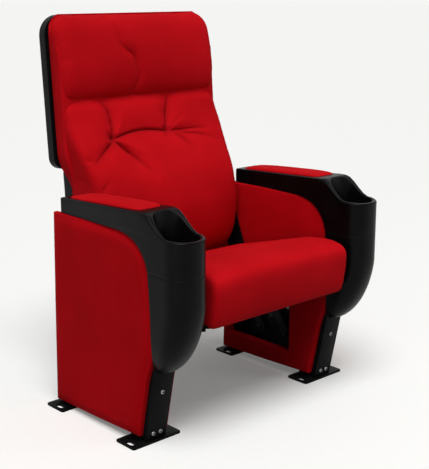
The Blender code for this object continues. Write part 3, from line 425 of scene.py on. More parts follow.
def wrap(bm, start_x, thick, edge, crown, outward, crowning):
    """Makes a flat region a wrapped panel: it gets its thickness, a rounded edge and a crowned face."""
    faces = list(bm.faces)
    bmesh.ops.translate(bm, verts=bm.verts, vec=(start_x - faces[0].calc_center_median().x, 0, 0))
    for face in faces:
        if face.normal.x * outward < 0:
            face.normal_flip()
    front = drawn_out(bm, faces, True)
    bmesh.ops.translate(bm, verts=verts_of(front), vec=(outward * (thick - edge - crown), 0, 0))
    shares = [sum(crowning[:i]) / sum(crowning) for i in range(len(crowning) + 1)]
    swell = [crown * (1 - (1 - share) ** 2) for share in shares]
    slices = rolled(edge) + [(inset, swell[i + 1] - swell[i]) for i, inset in enumerate(crowning)]
    for inset, lift in slices:
        bmesh.ops.inset_region(bm, faces=front, thickness=inset, depth=0.0, use_boundary=True,
                               use_even_offset=True)
        bmesh.ops.translate(bm, verts=verts_of(front), vec=(outward * lift, 0, 0))


panel_cloth = chair_cloth("panel_red_cloth", (174, 0, 13), (160, 0, 8), 0.0016)
arm_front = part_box("front_foot_left")[0].y
corner_y = 0.085
corner_z = 0.430
corner_rise = 0.093
panel_lap = 0.0125
panel_rise = 0.0045
outer_proud = 0.003
outer_edge = 0.006
outer_crown = 0.0075
outer_insets = (0.003, 0.004, 0.005, 0.006, 0.007)
inner_edge = 0.0065
inner_crown = 0.0004
inner_insets = (0.001,)
window_low = 0.066
window_depth = 0.243
for side, sign in sides:
    low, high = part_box(f"outer_panel_{side}")
    thick = high.x - low.x
    bm = panel_edge(side)
    bmesh.ops.contextual_create(bm, geom=list(bm.edges))
    start_x = low.x if sign > 0 else high.x
    wrap(bm, start_x, thick + outer_proud, outer_edge, outer_crown, sign, outer_insets)
    panel = piece(f"outer_panel_wrapped_{side}", bm, panel_cloth, "standards",
                  (f"outer_panel_{side}",))

    inner_low, inner_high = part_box(f"inner_upper_pad_{side}")
    bm = panel_edge(side)
    front = inner_low.y
    rear = front + window_depth
    corners = ((front, window_low), (rear, window_low), (rear, inner_low.z), (front, inner_low.z))
    window = [bm.verts.new(((low.x + high.x) / 2, y, z)) for y, z in corners]
    for pair in zip(window, window[1:] + window[:1]):
        bm.edges.new(pair)
    bmesh.ops.triangle_fill(bm, edges=list(bm.edges), use_beauty=True)
    start_x = inner_high.x if sign > 0 else inner_low.x
    wrap(bm, start_x, thick, inner_edge, inner_crown, -sign, inner_insets)
    panel = piece(f"inner_panel_wrapped_{side}", bm, panel_cloth, "standards",
                  (f"inner_front_pad_{side}", f"inner_upper_pad_{side}", f"inner_lower_pad_{side}"))


# Arm mouldings
# The arm is a hollow moulding in grained black plastic that drops over the standard. Its nose holds a cup
# and runs down the front of the post; the lower half of the nose is a second moulding, clipped on below a
# seam.
def grained_plastic(name, dark, light, gloss):
    finish = Finish(name, {"Specular IOR Level": 0.07})
    grain = finish.noise(1100.0, 3.0)
    smear = finish.noise(14.0, 4.0)
    finish.surface(dark, light, finish.between(smear, 0.35, 0.75), gloss + 0.10 * smear + 0.06 * grain)
    finish.bump(grain, 0.22, 0.0004)
    return finish


arm_plastic = grained_plastic("grained_black_arm_plastic", (4, 4, 5), (9, 9, 10), 0.24)
arm_tail = 0.322
tail_half = 0.041
tail_height = 0.5655
nose_half = 0.0525
nose_middle = -0.094
nose_tip = nose_middle - nose_half
nose_foot = 0.1925
narrow_from = 0.330
narrow_over = 0.142
round_from = 0.370
round_over = 0.178
belly_y = -0.030
belly_z = 0.300
post_face = 0.0145
post_half = 0.034
post_step = 0.425
seam = 0.445
seam_groove = 0.0006
fit_gap = 0.0003
panel_top = corner_z + corner_rise + panel_rise
rim_low = 0.531
rim_high = 0.5825
slope_from = -0.098
slope_over = 0.082
cup_radius = 0.0425
cup_floor = 0.458
cup_base_round = 0.005
mouth = 0.030
rim_round = 0.004
edge_round = 0.0045
tail_points = 12
side_points = 26
nose_points = 28


def post_front(z):
    """Where the front edge of the side panels stands at a height."""
    if z >= belly_z:
        return belly_y + 0.40 * (z - belly_z) ** 2
    drop = belly_z - z
    bend = 0.089
    return belly_y + 0.21 * (drop * drop / (2 * bend) if drop < bend else drop - bend / 2)


def arm_half(y):
    """Half the arm's width: it tapers from the nose to the tail."""
    return nose_half + (tail_half - nose_half) * smooth_step((y + 0.06) / (arm_tail + 0.06))


def arm_crest(y):
    """The height of the arm's top edge: level along the pad, then down in an S to the lip of the cup."""
    level = rim_high + (tail_height - rim_high) * max(0.0, y) / arm_tail
    lip = rim_low + 0.003 * smooth_step((y - nose_tip) / 0.05)
    return lip + (level - lip) * smooth_step((y - slope_from) / slope_over)


def skinned(rings):
    """A skin over a run of rings of points, closed at both ends, as a bmesh."""
    bm = bmesh.new()
    loops = []
    for points in rings:
        verts = [bm.verts.new(point) for point in points]
        loops.append([bm.edges.new(pair) for pair in zip(verts, verts[1:] + verts[:1])])
    for first, second in zip(loops, loops[1:]):
        bmesh.ops.bridge_loops(bm, edges=first + second)
    bmesh.ops.contextual_create(bm, geom=loops[0])
    bmesh.ops.contextual_create(bm, geom=loops[-1])
    return bm


def squared(value, power):
    """A sine or cosine bent so that the curve it draws is squarer than an ellipse."""
    return math.copysign(abs(value) ** (2 / power), value)


def arm_ring(x, tail, height, inset=0.0, half=nose_half, tip=nose_tip, notch=None):
    """The points of one ring round the arm, from its tail up one side, round the nose and back."""
    nose_power = 2.3
    notch_share = 0.66
    least = 0.004
    depth = min(half, max(least, tail - tip - least))
    centre = tip + depth
    points = []
    for i in range(side_points):
        y = tail + (centre - tail) * i / side_points
        points.append((half + arm_half(y) - nose_half - inset, y))
    for i in range(nose_points + 1):
        turn = math.pi * i / nose_points
        across = squared(math.cos(turn), nose_power)
        along = squared(abs(math.sin(turn)), nose_power)
        points.append(((half - inset) * across, centre - (depth - inset) * along))
    points += [(-px, py) for px, py in reversed(points[:side_points])]
    end_half = points[0][0]
    for i in range(1, tail_points):
        share = 1 - 2 * i / tail_points
        notched = notch is not None and abs(share) < notch_share
        points.append((-end_half * share, notch if notched else tail))
    return [(x + px, arm_front + py, height(py)) for px, py in points]


def cup_ring(x, radius, height, stretch):
    """As many points as arm_ring has, round the cup, whose mouth is stretched up the slope behind it."""
    mouth_power = 2 / 0.66
    past = math.radians(62)
    turns = [-past * (1 - i / side_points) for i in range(side_points)]
    turns += [math.pi * i / nose_points for i in range(nose_points + 1)]
    turns += [math.pi - turn for turn in reversed(turns[:side_points])]
    turns += [math.pi + past + (math.pi - 2 * past) * i / tail_points for i in range(1, tail_points)]
    points = []
    for turn in turns:
        across = math.cos(turn)
        along = math.sin(turn)
        if along < 0:
            across = squared(across, mouth_power)
            along = squared(along, mouth_power) * (radius + stretch) / radius
        y = nose_middle - radius * along
        points.append((x + radius * across, arm_front + y, height(y)))
    return points


def nose_size(z):
    """Half width and foremost point of the nose at a height."""
    half = nose_half
    if z < narrow_from:
        half = nose_half * (1 - 0.97 * min(1.0, (narrow_from - z) / narrow_over) ** 2.6) ** 0.45
    if z >= round_from:
        return half, nose_tip
    foot = post_front(z) - post_face - 0.010
    drop = min(1.0, (round_from - z) / round_over)
    return half, foot + (nose_tip - foot) * (1 - drop ** 1.5) ** (2 / 3)


def corner_line(z):
    """The rounded upper front corner of the side panels, where the moulding meets it."""
    if z <= corner_z:
        return post_front(z)
    turn = math.asin(min(1.0, (z - corner_z) / (panel_top - corner_z)))
    start = post_front(corner_z)
    return start + (corner_y - start) * (1 - math.cos(turn))


def panel_line(z):
    """Where the mouldings end against the front edge of the wrapped panels."""
    return corner_line(z) - lapped(corner_line(z), z)


for side, _ in sides:
    post_low, post_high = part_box(f"front_post_{side}")
    x = (post_low.x + post_high.x) / 2

    levels = [nose_foot + (belly_z - nose_foot) * (i / 14) ** 1.3 for i in range(15)]
    levels += [belly_z + (seam - 0.004 - belly_z) * i / 10 for i in range(1, 11)]
    levels.append(seam - 0.0014)
    rings = []
    for z in levels:
        half, tip = nose_size(z)
        face = post_front(z) - post_face - fit_gap
        tail = panel_line(z) - fit_gap if half > post_half else face
        rings.append(arm_ring(x, tail, lambda y: z, 0.0, half, tip, face if z < post_step else None))
    rings.append(arm_ring(x, panel_line(seam) - fit_gap, lambda y: seam - 0.0005, seam_groove))
    piece(f"nose_moulding_{side}", skinned(rings), arm_plastic, "standards",
          (f"nose_cover_{side}",), 50.0)

    rings = [arm_ring(x, panel_line(seam), lambda y: seam, seam_groove)]
    for z in (seam + 0.0009, seam + 0.003):
        rings.append(arm_ring(x, panel_line(z), lambda y: z))
    for i in range(1, 11):
        z = seam + 0.003 + (panel_top - 0.0034 - seam) * (1 - (1 - i / 10) ** 1.6)
        rings.append(arm_ring(x, panel_line(z), lambda y: min(z, arm_crest(y) - 0.007)))
    low = panel_top + 0.0006
    for share in (0.0, 0.25, 0.5, 0.75, 1.0):
        rings.append(arm_ring(x, arm_tail, lambda y: low + (arm_crest(y) - edge_round - low) * share))
    for turn in quarter(4)[1:]:
        inset = edge_round * (1 - math.cos(turn))
        drop = edge_round * (1 - math.sin(turn))
        rings.append(arm_ring(x, arm_tail, lambda y: arm_crest(y) - drop, inset))
    outer = arm_ring(x, arm_tail, arm_crest, edge_round + fit_gap)
    inner = cup_ring(x, cup_radius + rim_round + fit_gap, arm_crest, mouth)
    for i in range(13):
        share = 1 - (1 - i / 12) ** 1.4
        points = [Vector(first).lerp(Vector(last), share) for first, last in zip(outer, inner)]
        rings.append([(p.x, p.y, arm_crest(p.y - arm_front)) for p in points])
    for turn in quarter(5)[1:]:
        radius = cup_radius + rim_round * (1 - math.sin(turn))
        drop = rim_round * (1 - math.cos(turn))
        rings.append(cup_ring(x, radius, lambda y: arm_crest(y) - drop, mouth))
    wall_low = cup_floor + cup_base_round
    for share in (0.15, 0.3, 0.45, 0.6, 0.75, 0.9, 1.0):
        rings.append(cup_ring(x, cup_radius - 0.0015 * share,
                              lambda y: (arm_crest(y) - rim_round) * (1 - share) + wall_low * share,
                              mouth * (1 - 0.35 * share)))
    rings.append(cup_ring(x, cup_radius - 0.0035, lambda y: cup_floor + 0.0012, mouth * 0.64))
    rings.append(cup_ring(x, cup_radius - 0.0075, lambda y: cup_floor, mouth * 0.60))
    piece(f"arm_shell_{side}", skinned(rings), arm_plastic, "standards",
          (f"arm_moulding_{side}",), 50.0)


# Arm pads
# A strip of foam on a thin base, covered in the red cloth and screwed to the arm from below. It is crowned
# along its middle, narrower at the rear and cut nearly straight across at its ends.
seat_cloth = chair_cloth("upholstery_red_cloth", (186, 6, 18), (172, 3, 13), 0.0014)


def pad_points(x, inset, lift, front, rear, half_front, half_rear):
    """One level of a pad: a long strip with rounded corners, narrower at the rear."""
    pad_power = 7
    count = 64
    points = []
    for i in range(count):
        turn = math.tau * i / count
        y = (front + rear) / 2 + ((rear - front) / 2 - inset) * squared(math.cos(turn), pad_power)
        share = (y - front) / (rear - front)
        half = half_front + (half_rear - half_front) * share - inset
        swell = 1 - abs(share * 2 - 1) ** 3
        points.append((x + half * squared(math.sin(turn), pad_power), arm_front + y,
                       arm_crest(y) + lift * (0.55 + 0.45 * swell)))
    return points


pad_section = ((0.001, -0.003), (0.0, 0.0), (0.0, 0.0020), (0.001, 0.0042), (0.003, 0.0062),
               (0.007, 0.0080), (0.014, 0.0092), (0.0245, 0.0098), (0.0315, 0.0100))
pad_taper = 0.0045
for side, _ in sides:
    low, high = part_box(f"arm_pad_{side}")
    x = (low.x + high.x) / 2
    half = (high.x - low.x) / 2
    front = low.y - arm_front
    rear = high.y - arm_front
    rings = [pad_points(x, inset, lift, front, rear, half, half - pad_taper) for inset, lift in pad_section]
    pad = piece(f"arm_pad_covered_{side}", skinned(rings), seat_cloth, "standards",
                (f"arm_pad_{side}",), 60.0)


# Seat
# Two pressed rails on the hinge shaft carry a plywood board with a moulded cover below it. The cushion is
# moulded foam in a sewn cloth cover, stapled under the board. It is full at the front edge and falls to the
# rear, where a low tongue of it runs on under the back.
def plywood(name):
    finish = Finish(name, {})
    stretched = finish.node("ShaderNodeMapping", {}, {"Vector": finish.place, "Scale": (3.0, 40.0, 40.0)})
    grain = finish.noise(5.0, 6.0, stretched)
    finish.surface((22, 19, 17), (40, 34, 29), grain, 0.6 + 0.2 * grain)
    finish.bump(grain, 0.2, 0.0006)
    return finish


def stuffed(bm, voxel, limit):
    """A sewn cover over foam: the form is remeshed, blown up a little as cloth, and kept within a limit."""
    pressure = 4.0
    frames = 20
    bmesh.ops.recalc_face_normals(bm, faces=bm.faces)
    form = placed("cushion_form", mesh_of("cushion_form", bm))
    remesh = form.modifiers.new("even_mesh", "REMESH")
    remesh.mode = "VOXEL"
    remesh.voxel_size = voxel
    even = bpy.data.meshes.new_from_object(form.evaluated_get(bpy.context.evaluated_depsgraph_get()))
    form.modifiers.clear()
    form.data = even
    smooth = bmesh.new()
    smooth.from_mesh(even)
    for _ in range(4):
        bmesh.ops.smooth_vert(smooth, verts=smooth.verts, factor=0.5, use_axis_x=True, use_axis_y=True,
                              use_axis_z=True)
    smooth.to_mesh(even)
    smooth.free()
    cloth = form.modifiers.new("cover", "CLOTH")
    cloth.settings.use_pressure = True
    cloth.settings.uniform_pressure_force = pressure
    cloth.settings.effector_weights.gravity = 0.0
    cloth.settings.tension_stiffness = 5.0
    cloth.settings.compression_stiffness = 5.0
    cloth.settings.bending_stiffness = 0.5
    cloth.settings.quality = 4
    cloth.point_cache.frame_end = frames
    for step in range(1, frames + 1):
        bpy.context.scene.frame_set(step)
    blown = bpy.data.meshes.new_from_object(form.evaluated_get(bpy.context.evaluated_depsgraph_get()))
    moves = [after.co - before.co for before, after in zip(even.vertices, blown.vertices)]
    share = min(1.0, limit / max(move.length for move in moves))
    for vert, move in zip(even.vertices, moves):
        vert.co += move * share
    form.modifiers.clear()
    bpy.context.scene.frame_set(1)
    finer = form.modifiers.new("finer", "SUBSURF")
    finer.levels = 1
    finer.render_levels = 1
    made = bmesh.new()
    made.from_object(form, bpy.context.evaluated_depsgraph_get())
    bpy.data.objects.remove(form)
    return made


board_wood = plywood("black_stained_plywood")
cover_plastic = grained_plastic("grained_black_cover_plastic", (6, 6, 7), (12, 12, 13), 0.42)
rail_edge = 0.0008
cover_edge = 0.0015
for side, _ in sides:
    eased(f"seat_rail_{side}", "seat", frame_coat, rail_edge)
eased("hinge_shaft", "seat", shaft_steel, bar_edge)
eased("seat_board", "seat", board_wood, sheet_edge)
eased("seat_under_cover", "seat", cover_plastic, cover_edge)

seat_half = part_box("seat_cushion")[1].x - 0.003
seat_datum = 0.3125
seat_crown = 0.006
seat_voxel = 0.006
seat_swell = 0.004
seat_section = ((-0.114, -0.0185), (-0.1245, -0.006), (-0.1300, 0.014), (-0.1340, 0.038), (-0.1370, 0.062),
                (-0.1385, 0.082), (-0.1375, 0.096), (-0.131, 0.108), (-0.118, 0.1165), (-0.099, 0.1210),
                (-0.066, 0.1235), (-0.010, 0.1185), (0.050, 0.1035), (0.120, 0.0845), (0.200, 0.0635),
                (0.262, 0.0475), (0.290, 0.0310), (0.311, 0.0060), (0.322, -0.0110), (0.333, -0.0190),
                (0.328, -0.0270), (0.300, -0.0335), (0.277, -0.0340), (0.200, -0.0278),
                (0.100, -0.0188), (0.0, -0.0098), (-0.080, -0.0080))


def shrunk(section, inset):
    """A closed section drawn in by an even margin."""
    points = [Vector(point) for point in section]
    drawn = []
    for before, here, after in zip(points[-1:] + points[:-1], points, points[1:] + points[:1]):
        along = (after - before).normalized()
        drawn.append(here + inset * Vector((along.y, -along.x)))
    return drawn


corner = 0.013
columns = [(-seat_half + corner * (1 - math.cos(turn)), 1 - math.sin(turn)) for turn in quarter(7)]
flat = seat_half - corner
columns += [(-flat + 2 * flat * i / 16, 0.0) for i in range(1, 16)]
columns += [(-x, push) for x, push in reversed(columns[:8])]
rings = []
for x, push in columns:
    crown = seat_crown * (1 - (x / seat_half) ** 2)
    points = []
    for y, z in shrunk(seat_section, 0.002 + 0.010 * push ** 2):
        lift = crown * smooth_step((z - 0.03) / 0.06)
        back = corner * push * smooth_step((-0.060 - y) / 0.050)
        points.append((x, arm_front + y + back, seat_datum + z + lift))
    rings.append(points)
cover = stuffed(skinned(rings), seat_voxel, seat_swell)
cushion = piece("seat_cushion_stuffed", cover, seat_cloth, "seat",
                ("seat_cushion",), 80.0)


# Back frame
# Two steel side arms run from the hinge shaft up to the back, joined by a tube, and carry the back board.
# Moulded covers close the rear: a lower one round the tube and a domed shell behind the shoulders. Each is
# held by four black screws.
back_lean = math.radians(4.0)
back_datum = Vector((0.0, arm_front + 0.335, 0.470))
back_place = Matrix.Translation(back_datum) @ Matrix.Rotation(-back_lean, 4, "X")
for side, _ in sides:
    eased(f"back_arm_{side}", "back", frame_coat, bar_edge)
eased("back_base_tube", "back", frame_coat, sheet_edge)
eased("back_board", "back", board_wood, sheet_edge)
cover_screw = (0.0052, 0.0024, 0.0028)
cover_screw_sunk = 0.0004
facing_rear = Matrix.Rotation(math.radians(-90), 4, "X")


def rear_cover(name, node, half, low, high, front, rear, low_corner, high_corner, screws):
    """A vacuum-formed tray: a rounded rectangle drawn to its depth, its rim rolled and its middle domed."""
    dome = 0.004
    edge = 0.012
    bm = bmesh.new()
    corners = [bm.verts.new(point) for point in
               ((-half, front, low), (half, front, low), (half, front, high), (-half, front, high))]
    bm.faces.new(corners)
    for pair, radius in ((corners[:2], low_corner), (corners[2:], high_corner)):
        bmesh.ops.bevel(bm, geom=pair, offset=radius, affect="VERTICES", segments=8, profile=0.5,
                        material=-1)
    face = max(bm.faces, key=lambda part: part.calc_area())
    if face.normal.y < 0:
        face.normal_flip()
    back = drawn_out(bm, [face], True)
    bmesh.ops.translate(bm, verts=verts_of(back), vec=(0, rear - front - edge - dome, 0))
    for inset, lift in rolled(edge):
        bmesh.ops.inset_region(bm, faces=back, thickness=inset, depth=0.0, use_even_offset=True)
        bmesh.ops.translate(bm, verts=verts_of(back), vec=(0, lift, 0))
    middle = Vector((0, 0, (low + high) / 2))
    for scale, lift in ((0.93, 0.0), (0.99, -0.0012), (0.99, 0.0), (0.90, dome * 0.6), (0.75, dome * 0.5),
                        (0.5, dome * 0.3)):
        back = drawn_out(bm, back, False)
        rim = verts_of(back)
        bmesh.ops.scale(bm, verts=rim, vec=(scale, 1, scale), space=Matrix.Translation(-middle))
        bmesh.ops.translate(bm, verts=rim, vec=(0, lift, 0))
    bmesh.ops.transform(bm, verts=bm.verts, matrix=back_place)
    piece(name, bm, cover_plastic, "back", (node,), 50.0)
    for index, (x, u) in enumerate(screws):
        place = back_place @ Matrix.Translation((x, rear - dome - cover_screw_sunk, u)) @ facing_rear
        fitted_screw(f"{name}_screw_{index + 1}", cover_screw, place, link_paint, "back")


rear_cover("shoulder_shell", "back_shell", half=0.272, low=0.1463, high=0.5485, front=0.1092, rear=0.147,
           low_corner=0.030, high_corner=0.055,
           screws=[(x, u) for x in (-0.252, 0.252) for u in (0.200, 0.480)])
rear_cover("lower_rear_cover", "lower_back_cover", half=0.242, low=-0.168, high=0.1457, front=0.0810,
           rear=0.1288, low_corner=0.024, high_corner=0.012,
           screws=[(x, u) for x in (-0.222, 0.222) for u in (-0.110, 0.080)])


# Back cushion
# The back is one foam pad in a sewn cloth cover, stapled to the board and drawn to it by two tufts, which
# leave deep puckers and creases above a full lumbar bulge. A cloth band closes its sides. Below the
# shoulders it narrows to pass between the standards.
back_front = ((0.0, 0.010), (0.018, -0.008), (0.069, -0.028), (0.151, -0.046), (0.268, -0.058),
              (0.365, -0.061), (0.505, -0.050), (0.576, -0.037), (0.642, -0.019), (0.770, 0.013),
              (0.890, 0.038), (0.963, 0.051), (1.0, 0.066))


def along_table(table, share):
    """A value read from a table of pairs by a smooth curve through them."""
    place = max(i for i in range(len(table) - 1) if table[i][0] <= share or i == 0)
    (start, low), (end, high) = table[place:place + 2]
    before = table[max(0, place - 1)]
    after = table[min(len(table) - 1, place + 2)]
    slope_in = (high - before[1]) / (end - before[0])
    slope_out = (after[1] - low) / (after[0] - start)
    run = end - start
    t = (share - start) / run
    return ((2 * t ** 3 - 3 * t ** 2 + 1) * low + (t ** 3 - 2 * t ** 2 + t) * run * slope_in
            + (3 * t ** 2 - 2 * t ** 3) * high + (t ** 3 - t ** 2) * run * slope_out)


def cushion_slice(half, front, rear, height, corner, crown):
    """One level of a back cushion: a crowned front, rounded front corners, plain sides and a flat rear."""
    bevel = 0.006
    bend = min(corner, (rear - front) * 0.7)
    straight = half - corner
    edge = [(straight + corner * math.sin(turn), front + bend * (1 - math.cos(turn)))
            for turn in quarter(7)]
    points = [(-x, v) for x, v in reversed(edge)]
    points += [(straight * share, front - crown * (1 - share * share))
               for share in [-1 + 2 * i / 26 for i in range(1, 26)]]
    points += edge
    points += [(half, rear - bevel), (half - bevel, rear)]
    points += [(half * (1 - 2 * i / 12), rear) for i in range(1, 12)]
    points += [(-half + bevel, rear), (-half, rear - bevel)]
    return [back_place @ Vector((x, v, height)) for x, v in points]


def back_half(u):
    """Half the width of the back: it narrows below the shoulders to pass between the arms."""
    return 0.249 + 0.019 * smooth_step((u - 0.112) / 0.075)


def front_half(u):
    """Half the width of the cushion's face, which tapers more gently than the sides behind it."""
    return 0.2475 + 0.0175 * smooth_step((u - 0.105) / 0.150)


def back_rear(u):
    """How far back the cushions reach, onto the board at the shoulders and less below them."""
    return 0.0802 + 0.0280 * smooth_step((u - 0.090) / 0.056)


back_low = -0.130
head_seam = 0.3215
head_top = 0.5525
top_corner = 0.055
shoulder = head_top - top_corner


def shoulder_half(u, half):
    """The half width with the rounded upper corners taken off."""
    into = max(0.0, u - shoulder) / top_corner
    return half - top_corner * (1 - math.sqrt(max(0.0, 1 - 0.985 * into * into)))


band_low = back_low - 0.036
band_inset = 0.0035
band_corner = 0.007
heights = [band_low + (shoulder - band_low) * i / 38 for i in range(39)]
heights += [shoulder + (top_corner - 0.004) * math.sin(turn) for turn in quarter(12)[1:]]
rings = []
for u in heights:
    rear = back_rear(u)
    front = rear - 0.047 * (1 - 0.85 * smooth_step((u - 0.440) / 0.095))
    front += 0.014 * smooth_step((0.150 - u) / 0.06)
    front -= 0.042 * smooth_step((-0.050 - u) / 0.060)
    half = shoulder_half(u, back_half(u) - band_inset)
    rings.append(cushion_slice(half, front, rear, u, band_corner, 0.0))
band = piece("back_side_band", skinned(rings), seat_cloth, "back", (), 60.0)

form_low = back_low - 0.030
form_height = head_seam + 0.080 - back_low
form_inset = 0.003
form_crown = 0.002
back_voxel = 0.006
back_swell = 0.008
rows = 46
rings = []
for i in range(rows + 1):
    u = form_low + form_height * (i / rows)
    share = min(1.0, max(0.0, (u - back_low) / (head_seam - back_low)))
    front = along_table(back_front, share) + form_inset
    rear = back_rear(u) - 0.006
    corner = 0.024 + 0.012 * smooth_step((0.200 - u) / 0.140)
    rings.append(cushion_slice(front_half(u), front, rear, u, corner, form_crown))
cover = stuffed(skinned(rings), back_voxel, back_swell)

button_left = (-0.135, 0.217)
button_right = (0.048, 0.223)
# Each crease has its depth, its breadth, its strength at both ends and the points it runs through
back_creases = (
    (0.026, 0.024, 1.0, 0.4, (button_left, (-0.127, 0.255), (-0.130, 0.290), (-0.142, 0.312))),
    (0.024, 0.034, 1.0, 1.0, (button_left, (-0.079, 0.229), (-0.020, 0.232), button_right)),
    (0.024, 0.026, 1.0, 0.5, (button_right, (0.062, 0.262), (0.076, 0.294), (0.086, 0.316))),
    (0.017, 0.018, 1.0, 0.1, (button_right, (0.095, 0.222), (0.150, 0.222), (0.196, 0.218))),
    (0.012, 0.016, 1.0, 0.1, (button_right, (0.100, 0.214), (0.165, 0.202), (0.228, 0.180))),
    (0.011, 0.014, 1.0, 0.1, (button_right, (0.082, 0.204), (0.106, 0.178), (0.122, 0.152))),
    (0.008, 0.014, 1.0, 0.1, (button_right, (0.070, 0.240), (0.095, 0.256), (0.115, 0.270))),
    (0.029, 0.018, 1.0, 0.2, (button_left, (-0.112, 0.190), (-0.082, 0.156), (-0.052, 0.119))),
    (0.021, 0.018, 1.0, 0.3, (button_left, (-0.155, 0.203), (-0.190, 0.183), (-0.222, 0.163))),
    (0.007, 0.012, 0.5, 0.1, ((-0.222, 0.163), (-0.232, 0.172), (-0.242, 0.174), (-0.250, 0.176))),
    (0.006, 0.012, 0.1, 0.1, ((-0.236, 0.085), (-0.226, 0.098), (-0.214, 0.110), (-0.204, 0.120))),
)


def curve_points(points, steps=14):
    """A smooth run of points through the given ones."""
    held = [points[0], *points, points[-1]]
    made = []
    for p0, p1, p2, p3 in zip(held, held[1:], held[2:], held[3:]):
        for i in range(steps):
            t = i / steps
            made.append([0.5 * (2 * b + (c - a) * t + (2 * a - 5 * b + 4 * c - d) * t * t
                                + (3 * b - a - 3 * c + d) * t ** 3)
                         for a, b, c, d in zip(p0, p1, p2, p3)])
    made.append(list(points[-1]))
    return np.array(made)


def sink_creases(bm, creases, buttons, front_limit):
    """Draws creases and tufts into the front of a cushion and marks the cloth that lies in them for painted
    shade.
    """
    line_width = 0.0040
    full_shade_depth = 0.024
    far = 9.0
    bmesh.ops.recalc_face_normals(bm, faces=bm.faces)
    bm.normal_update()
    # The mark is how much painted shade the cloth gets: most along a deep crease's line and at a tuft.
    fold_shade_mark = bm.verts.layers.float.new("painted_fold_shade")
    verts = list(bm.verts)
    local = np.array([back_place.inverted() @ vert.co for vert in verts])
    facing = np.array([(back_place.inverted().to_3x3() @ vert.normal).y for vert in verts])
    flat = local[:, (0, 2)]
    sink = np.zeros(len(verts))
    fold_shade = np.zeros(len(verts))
    for depth, breadth, first_share, last_share, points in creases:
        run = curve_points(points)
        reach = np.full(len(verts), far)
        fade = np.zeros(len(verts))
        for share, (first, second) in zip(np.linspace(0.0, 1.0, len(run) - 1), zip(run, run[1:])):
            leg = second - first
            along = np.clip(((flat - first) @ leg) / max(1e-9, leg @ leg), 0.0, 1.0)
            gap = np.linalg.norm(flat - first - along[:, None] * leg, axis=1)
            nearer = gap < reach
            reach = np.where(nearer, gap, reach)
            start = first_share + (1 - first_share) * min(1.0, 3 * share)
            end = last_share + (1 - last_share) * min(1.0, 1.6 * (1 - share))
            fade = np.where(nearer, start * end, fade)
        line = np.exp(-reach / line_width)
        sink = np.maximum(sink, depth * fade * (0.5 * line + 0.5 * np.exp(-(reach / breadth) ** 2)))
        fold_shade = np.maximum(fold_shade, fade * line * min(1.0, depth / full_shade_depth))
    for x, u, depth, spread in buttons:
        reach = np.hypot(flat[:, 0] - x, flat[:, 1] - u)
        dip = np.exp(-reach / (0.4 * spread))
        sink = np.maximum(sink, depth * (0.5 * dip + 0.5 * np.exp(-(reach / spread) ** 2)))
        fold_shade = np.maximum(fold_shade, dip)
    front = (facing < 0.15) & (local[:, 1] < front_limit)
    inward = back_place.to_3x3() @ Vector((0, 1, 0))
    for vert, depth, share, shown in zip(verts, sink, fold_shade, front):
        if shown:
            vert.co += inward * float(depth)
            vert[fold_shade_mark] = float(share)


tufts = ((*button_left, 0.034, 0.028), (*button_right, 0.030, 0.026))
sink_creases(cover, back_creases, tufts, front_limit=0.07)
cushion = piece("back_cushion_stuffed", cover, seat_cloth, "back",
                ("back_cushion",), 80.0)


# Head pillow
# A separate roll of foam and fibre in the same cloth is sewn to the top of the back. It overhangs the back
# a little and has one soft crease down its middle where the filling is quilted through.
head_front = ((0.0, 0.084), (0.05, 0.062), (0.12, 0.051), (0.25, 0.045), (0.40, 0.044), (0.55, 0.047),
              (0.70, 0.052), (0.84, 0.061), (0.94, 0.076), (1.0, 0.096))
pillow_low = head_seam - 0.006
pillow_high = head_top - 0.002
pillow_half = 0.267
pillow_rear = 0.1030
pillow_inset = 0.002
pillow_corner = 0.034
pillow_crown = 0.004
pillow_voxel = 0.005
pillow_swell = 0.009
rows = 30
rings = []
for i in range(rows + 1):
    share = i / rows
    u = pillow_low + (pillow_high - pillow_low) * share
    front = along_table(head_front, share) + pillow_inset
    half = shoulder_half(u, pillow_half)
    rings.append(cushion_slice(half, front, pillow_rear, u, pillow_corner, pillow_crown))
cover = stuffed(skinned(rings), pillow_voxel, pillow_swell)
crease_line = ((-0.044, 0.336), (-0.022, 0.372), (-0.026, 0.402), (-0.034, 0.432), (-0.054, 0.448),
               (-0.070, 0.464), (-0.076, 0.488), (-0.086, 0.512), (-0.102, 0.536))
sink_creases(cover, ((0.011, 0.016, 0.2, 0.3, crease_line),), (), front_limit=0.08)
cushion = piece("head_pillow_stuffed", cover, seat_cloth, "back",
                ("head_cushion",), 80.0)


# Studio
# A pale floor runs out of sight under an even dome of light. One broad lamp shines from the upper front
# left and two weak soft boxes stand to the sides. The camera and mirrored rays see a plain pale background.
mirrored_rays = ("Is Glossy Ray", "Is Transmission Ray")


def aimed(name, data, place, direction):
    """A lamp or camera that looks along a direction."""
    made = placed(name, data)
    made.location = place
    made.rotation_euler = Vector(direction).to_track_quat("-Z", "Y").to_euler()
    return made


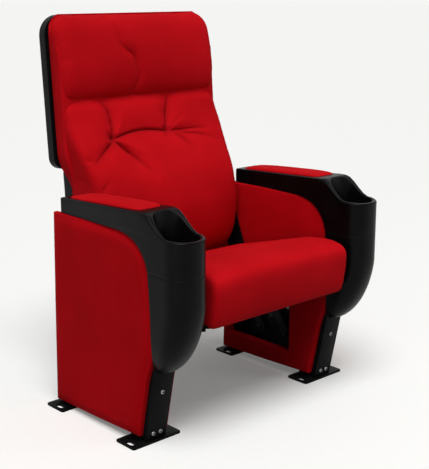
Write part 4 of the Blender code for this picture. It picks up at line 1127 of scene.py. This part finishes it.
def pale_floor():
    finish = Finish("pale_floor", {"Specular IOR Level": 0.0, "Emission Strength": 1.0})
    grain = finish.noise(40.0, 3.0)
    seen = finish.mix(paint(226, 226, 224), paint(230, 230, 228), grain)
    path = finish.node("ShaderNodeLightPath", {}, {}, "Is Camera Ray")
    for kind in mirrored_rays:
        path = path + finish.node("ShaderNodeLightPath", {}, {}, kind)
    finish.feed("Base Color", finish.mix(paint(128, 128, 127), seen, path))
    finish.feed("Emission Color", finish.mix((0.0, 0.0, 0.0, 1.0), paint(104, 104, 103), path))
    finish.feed("Roughness", 0.85 + 0.1 * grain)
    return finish


bm = bmesh.new()
bmesh.ops.create_circle(bm, cap_ends=True, segments=96, radius=60.0)
floor = placed("studio_floor", mesh_of("studio_floor", bm))
floor.data.materials.append(pale_floor().material)

world = bpy.data.worlds.new("studio_dome")
bpy.context.scene.world = world
world.use_nodes = True
nodes = world.node_tree.nodes
links = world.node_tree.links
dome = nodes["Background"]
dome.inputs["Color"].default_value = (1.0, 1.0, 1.0, 1.0)
dome.inputs["Strength"].default_value = 0.22
seen = nodes.new("ShaderNodeBackground")
seen.inputs["Color"].default_value = paint(245, 245, 243)
path = nodes.new("ShaderNodeLightPath")
choice = nodes.new("ShaderNodeMixShader")
shown = path.outputs["Is Camera Ray"]
for kind in mirrored_rays:
    either = nodes.new("ShaderNodeMath")
    links.new(shown, either.inputs[0])
    links.new(path.outputs[kind], either.inputs[1])
    shown = either.outputs[0]
links.new(shown, choice.inputs[0])
links.new(dome.outputs[0], choice.inputs[1])
links.new(seen.outputs[0], choice.inputs[2])
links.new(choice.outputs[0], nodes["World Output"].inputs["Surface"])

lamp = bpy.data.lights.new("broad_soft_lamp", "SUN")
lamp.energy = 2.7
lamp.angle = math.radians(36)
aimed("broad_soft_lamp", lamp, (0.0, 0.0, 0.0), (0.32, 0.38, -1.0))

box_power = 8.0
box_target = Vector((0, 0, 0.5))
for name, place in (("left_soft_box", (-2.3, -0.9, 1.3)), ("right_soft_box", (1.5, -2.0, 1.4))):
    box = bpy.data.lights.new(name, "AREA")
    box.shape = "RECTANGLE"
    box.size = 0.8
    box.size_y = 1.8
    box.energy = box_power
    aimed(name, box, place, box_target - Vector(place))

camera = bpy.data.cameras.new("photo_camera")
camera.lens = 77.01
camera.sensor_width = 36.0
camera_place = (-1.730, -1.94128, 1.081)
camera_look = (0.6568, 0.7146, -0.2406)
bpy.context.scene.camera = aimed("photo_camera", camera, camera_place, camera_look)
bpy.context.scene.view_settings.view_transform = "Standard"
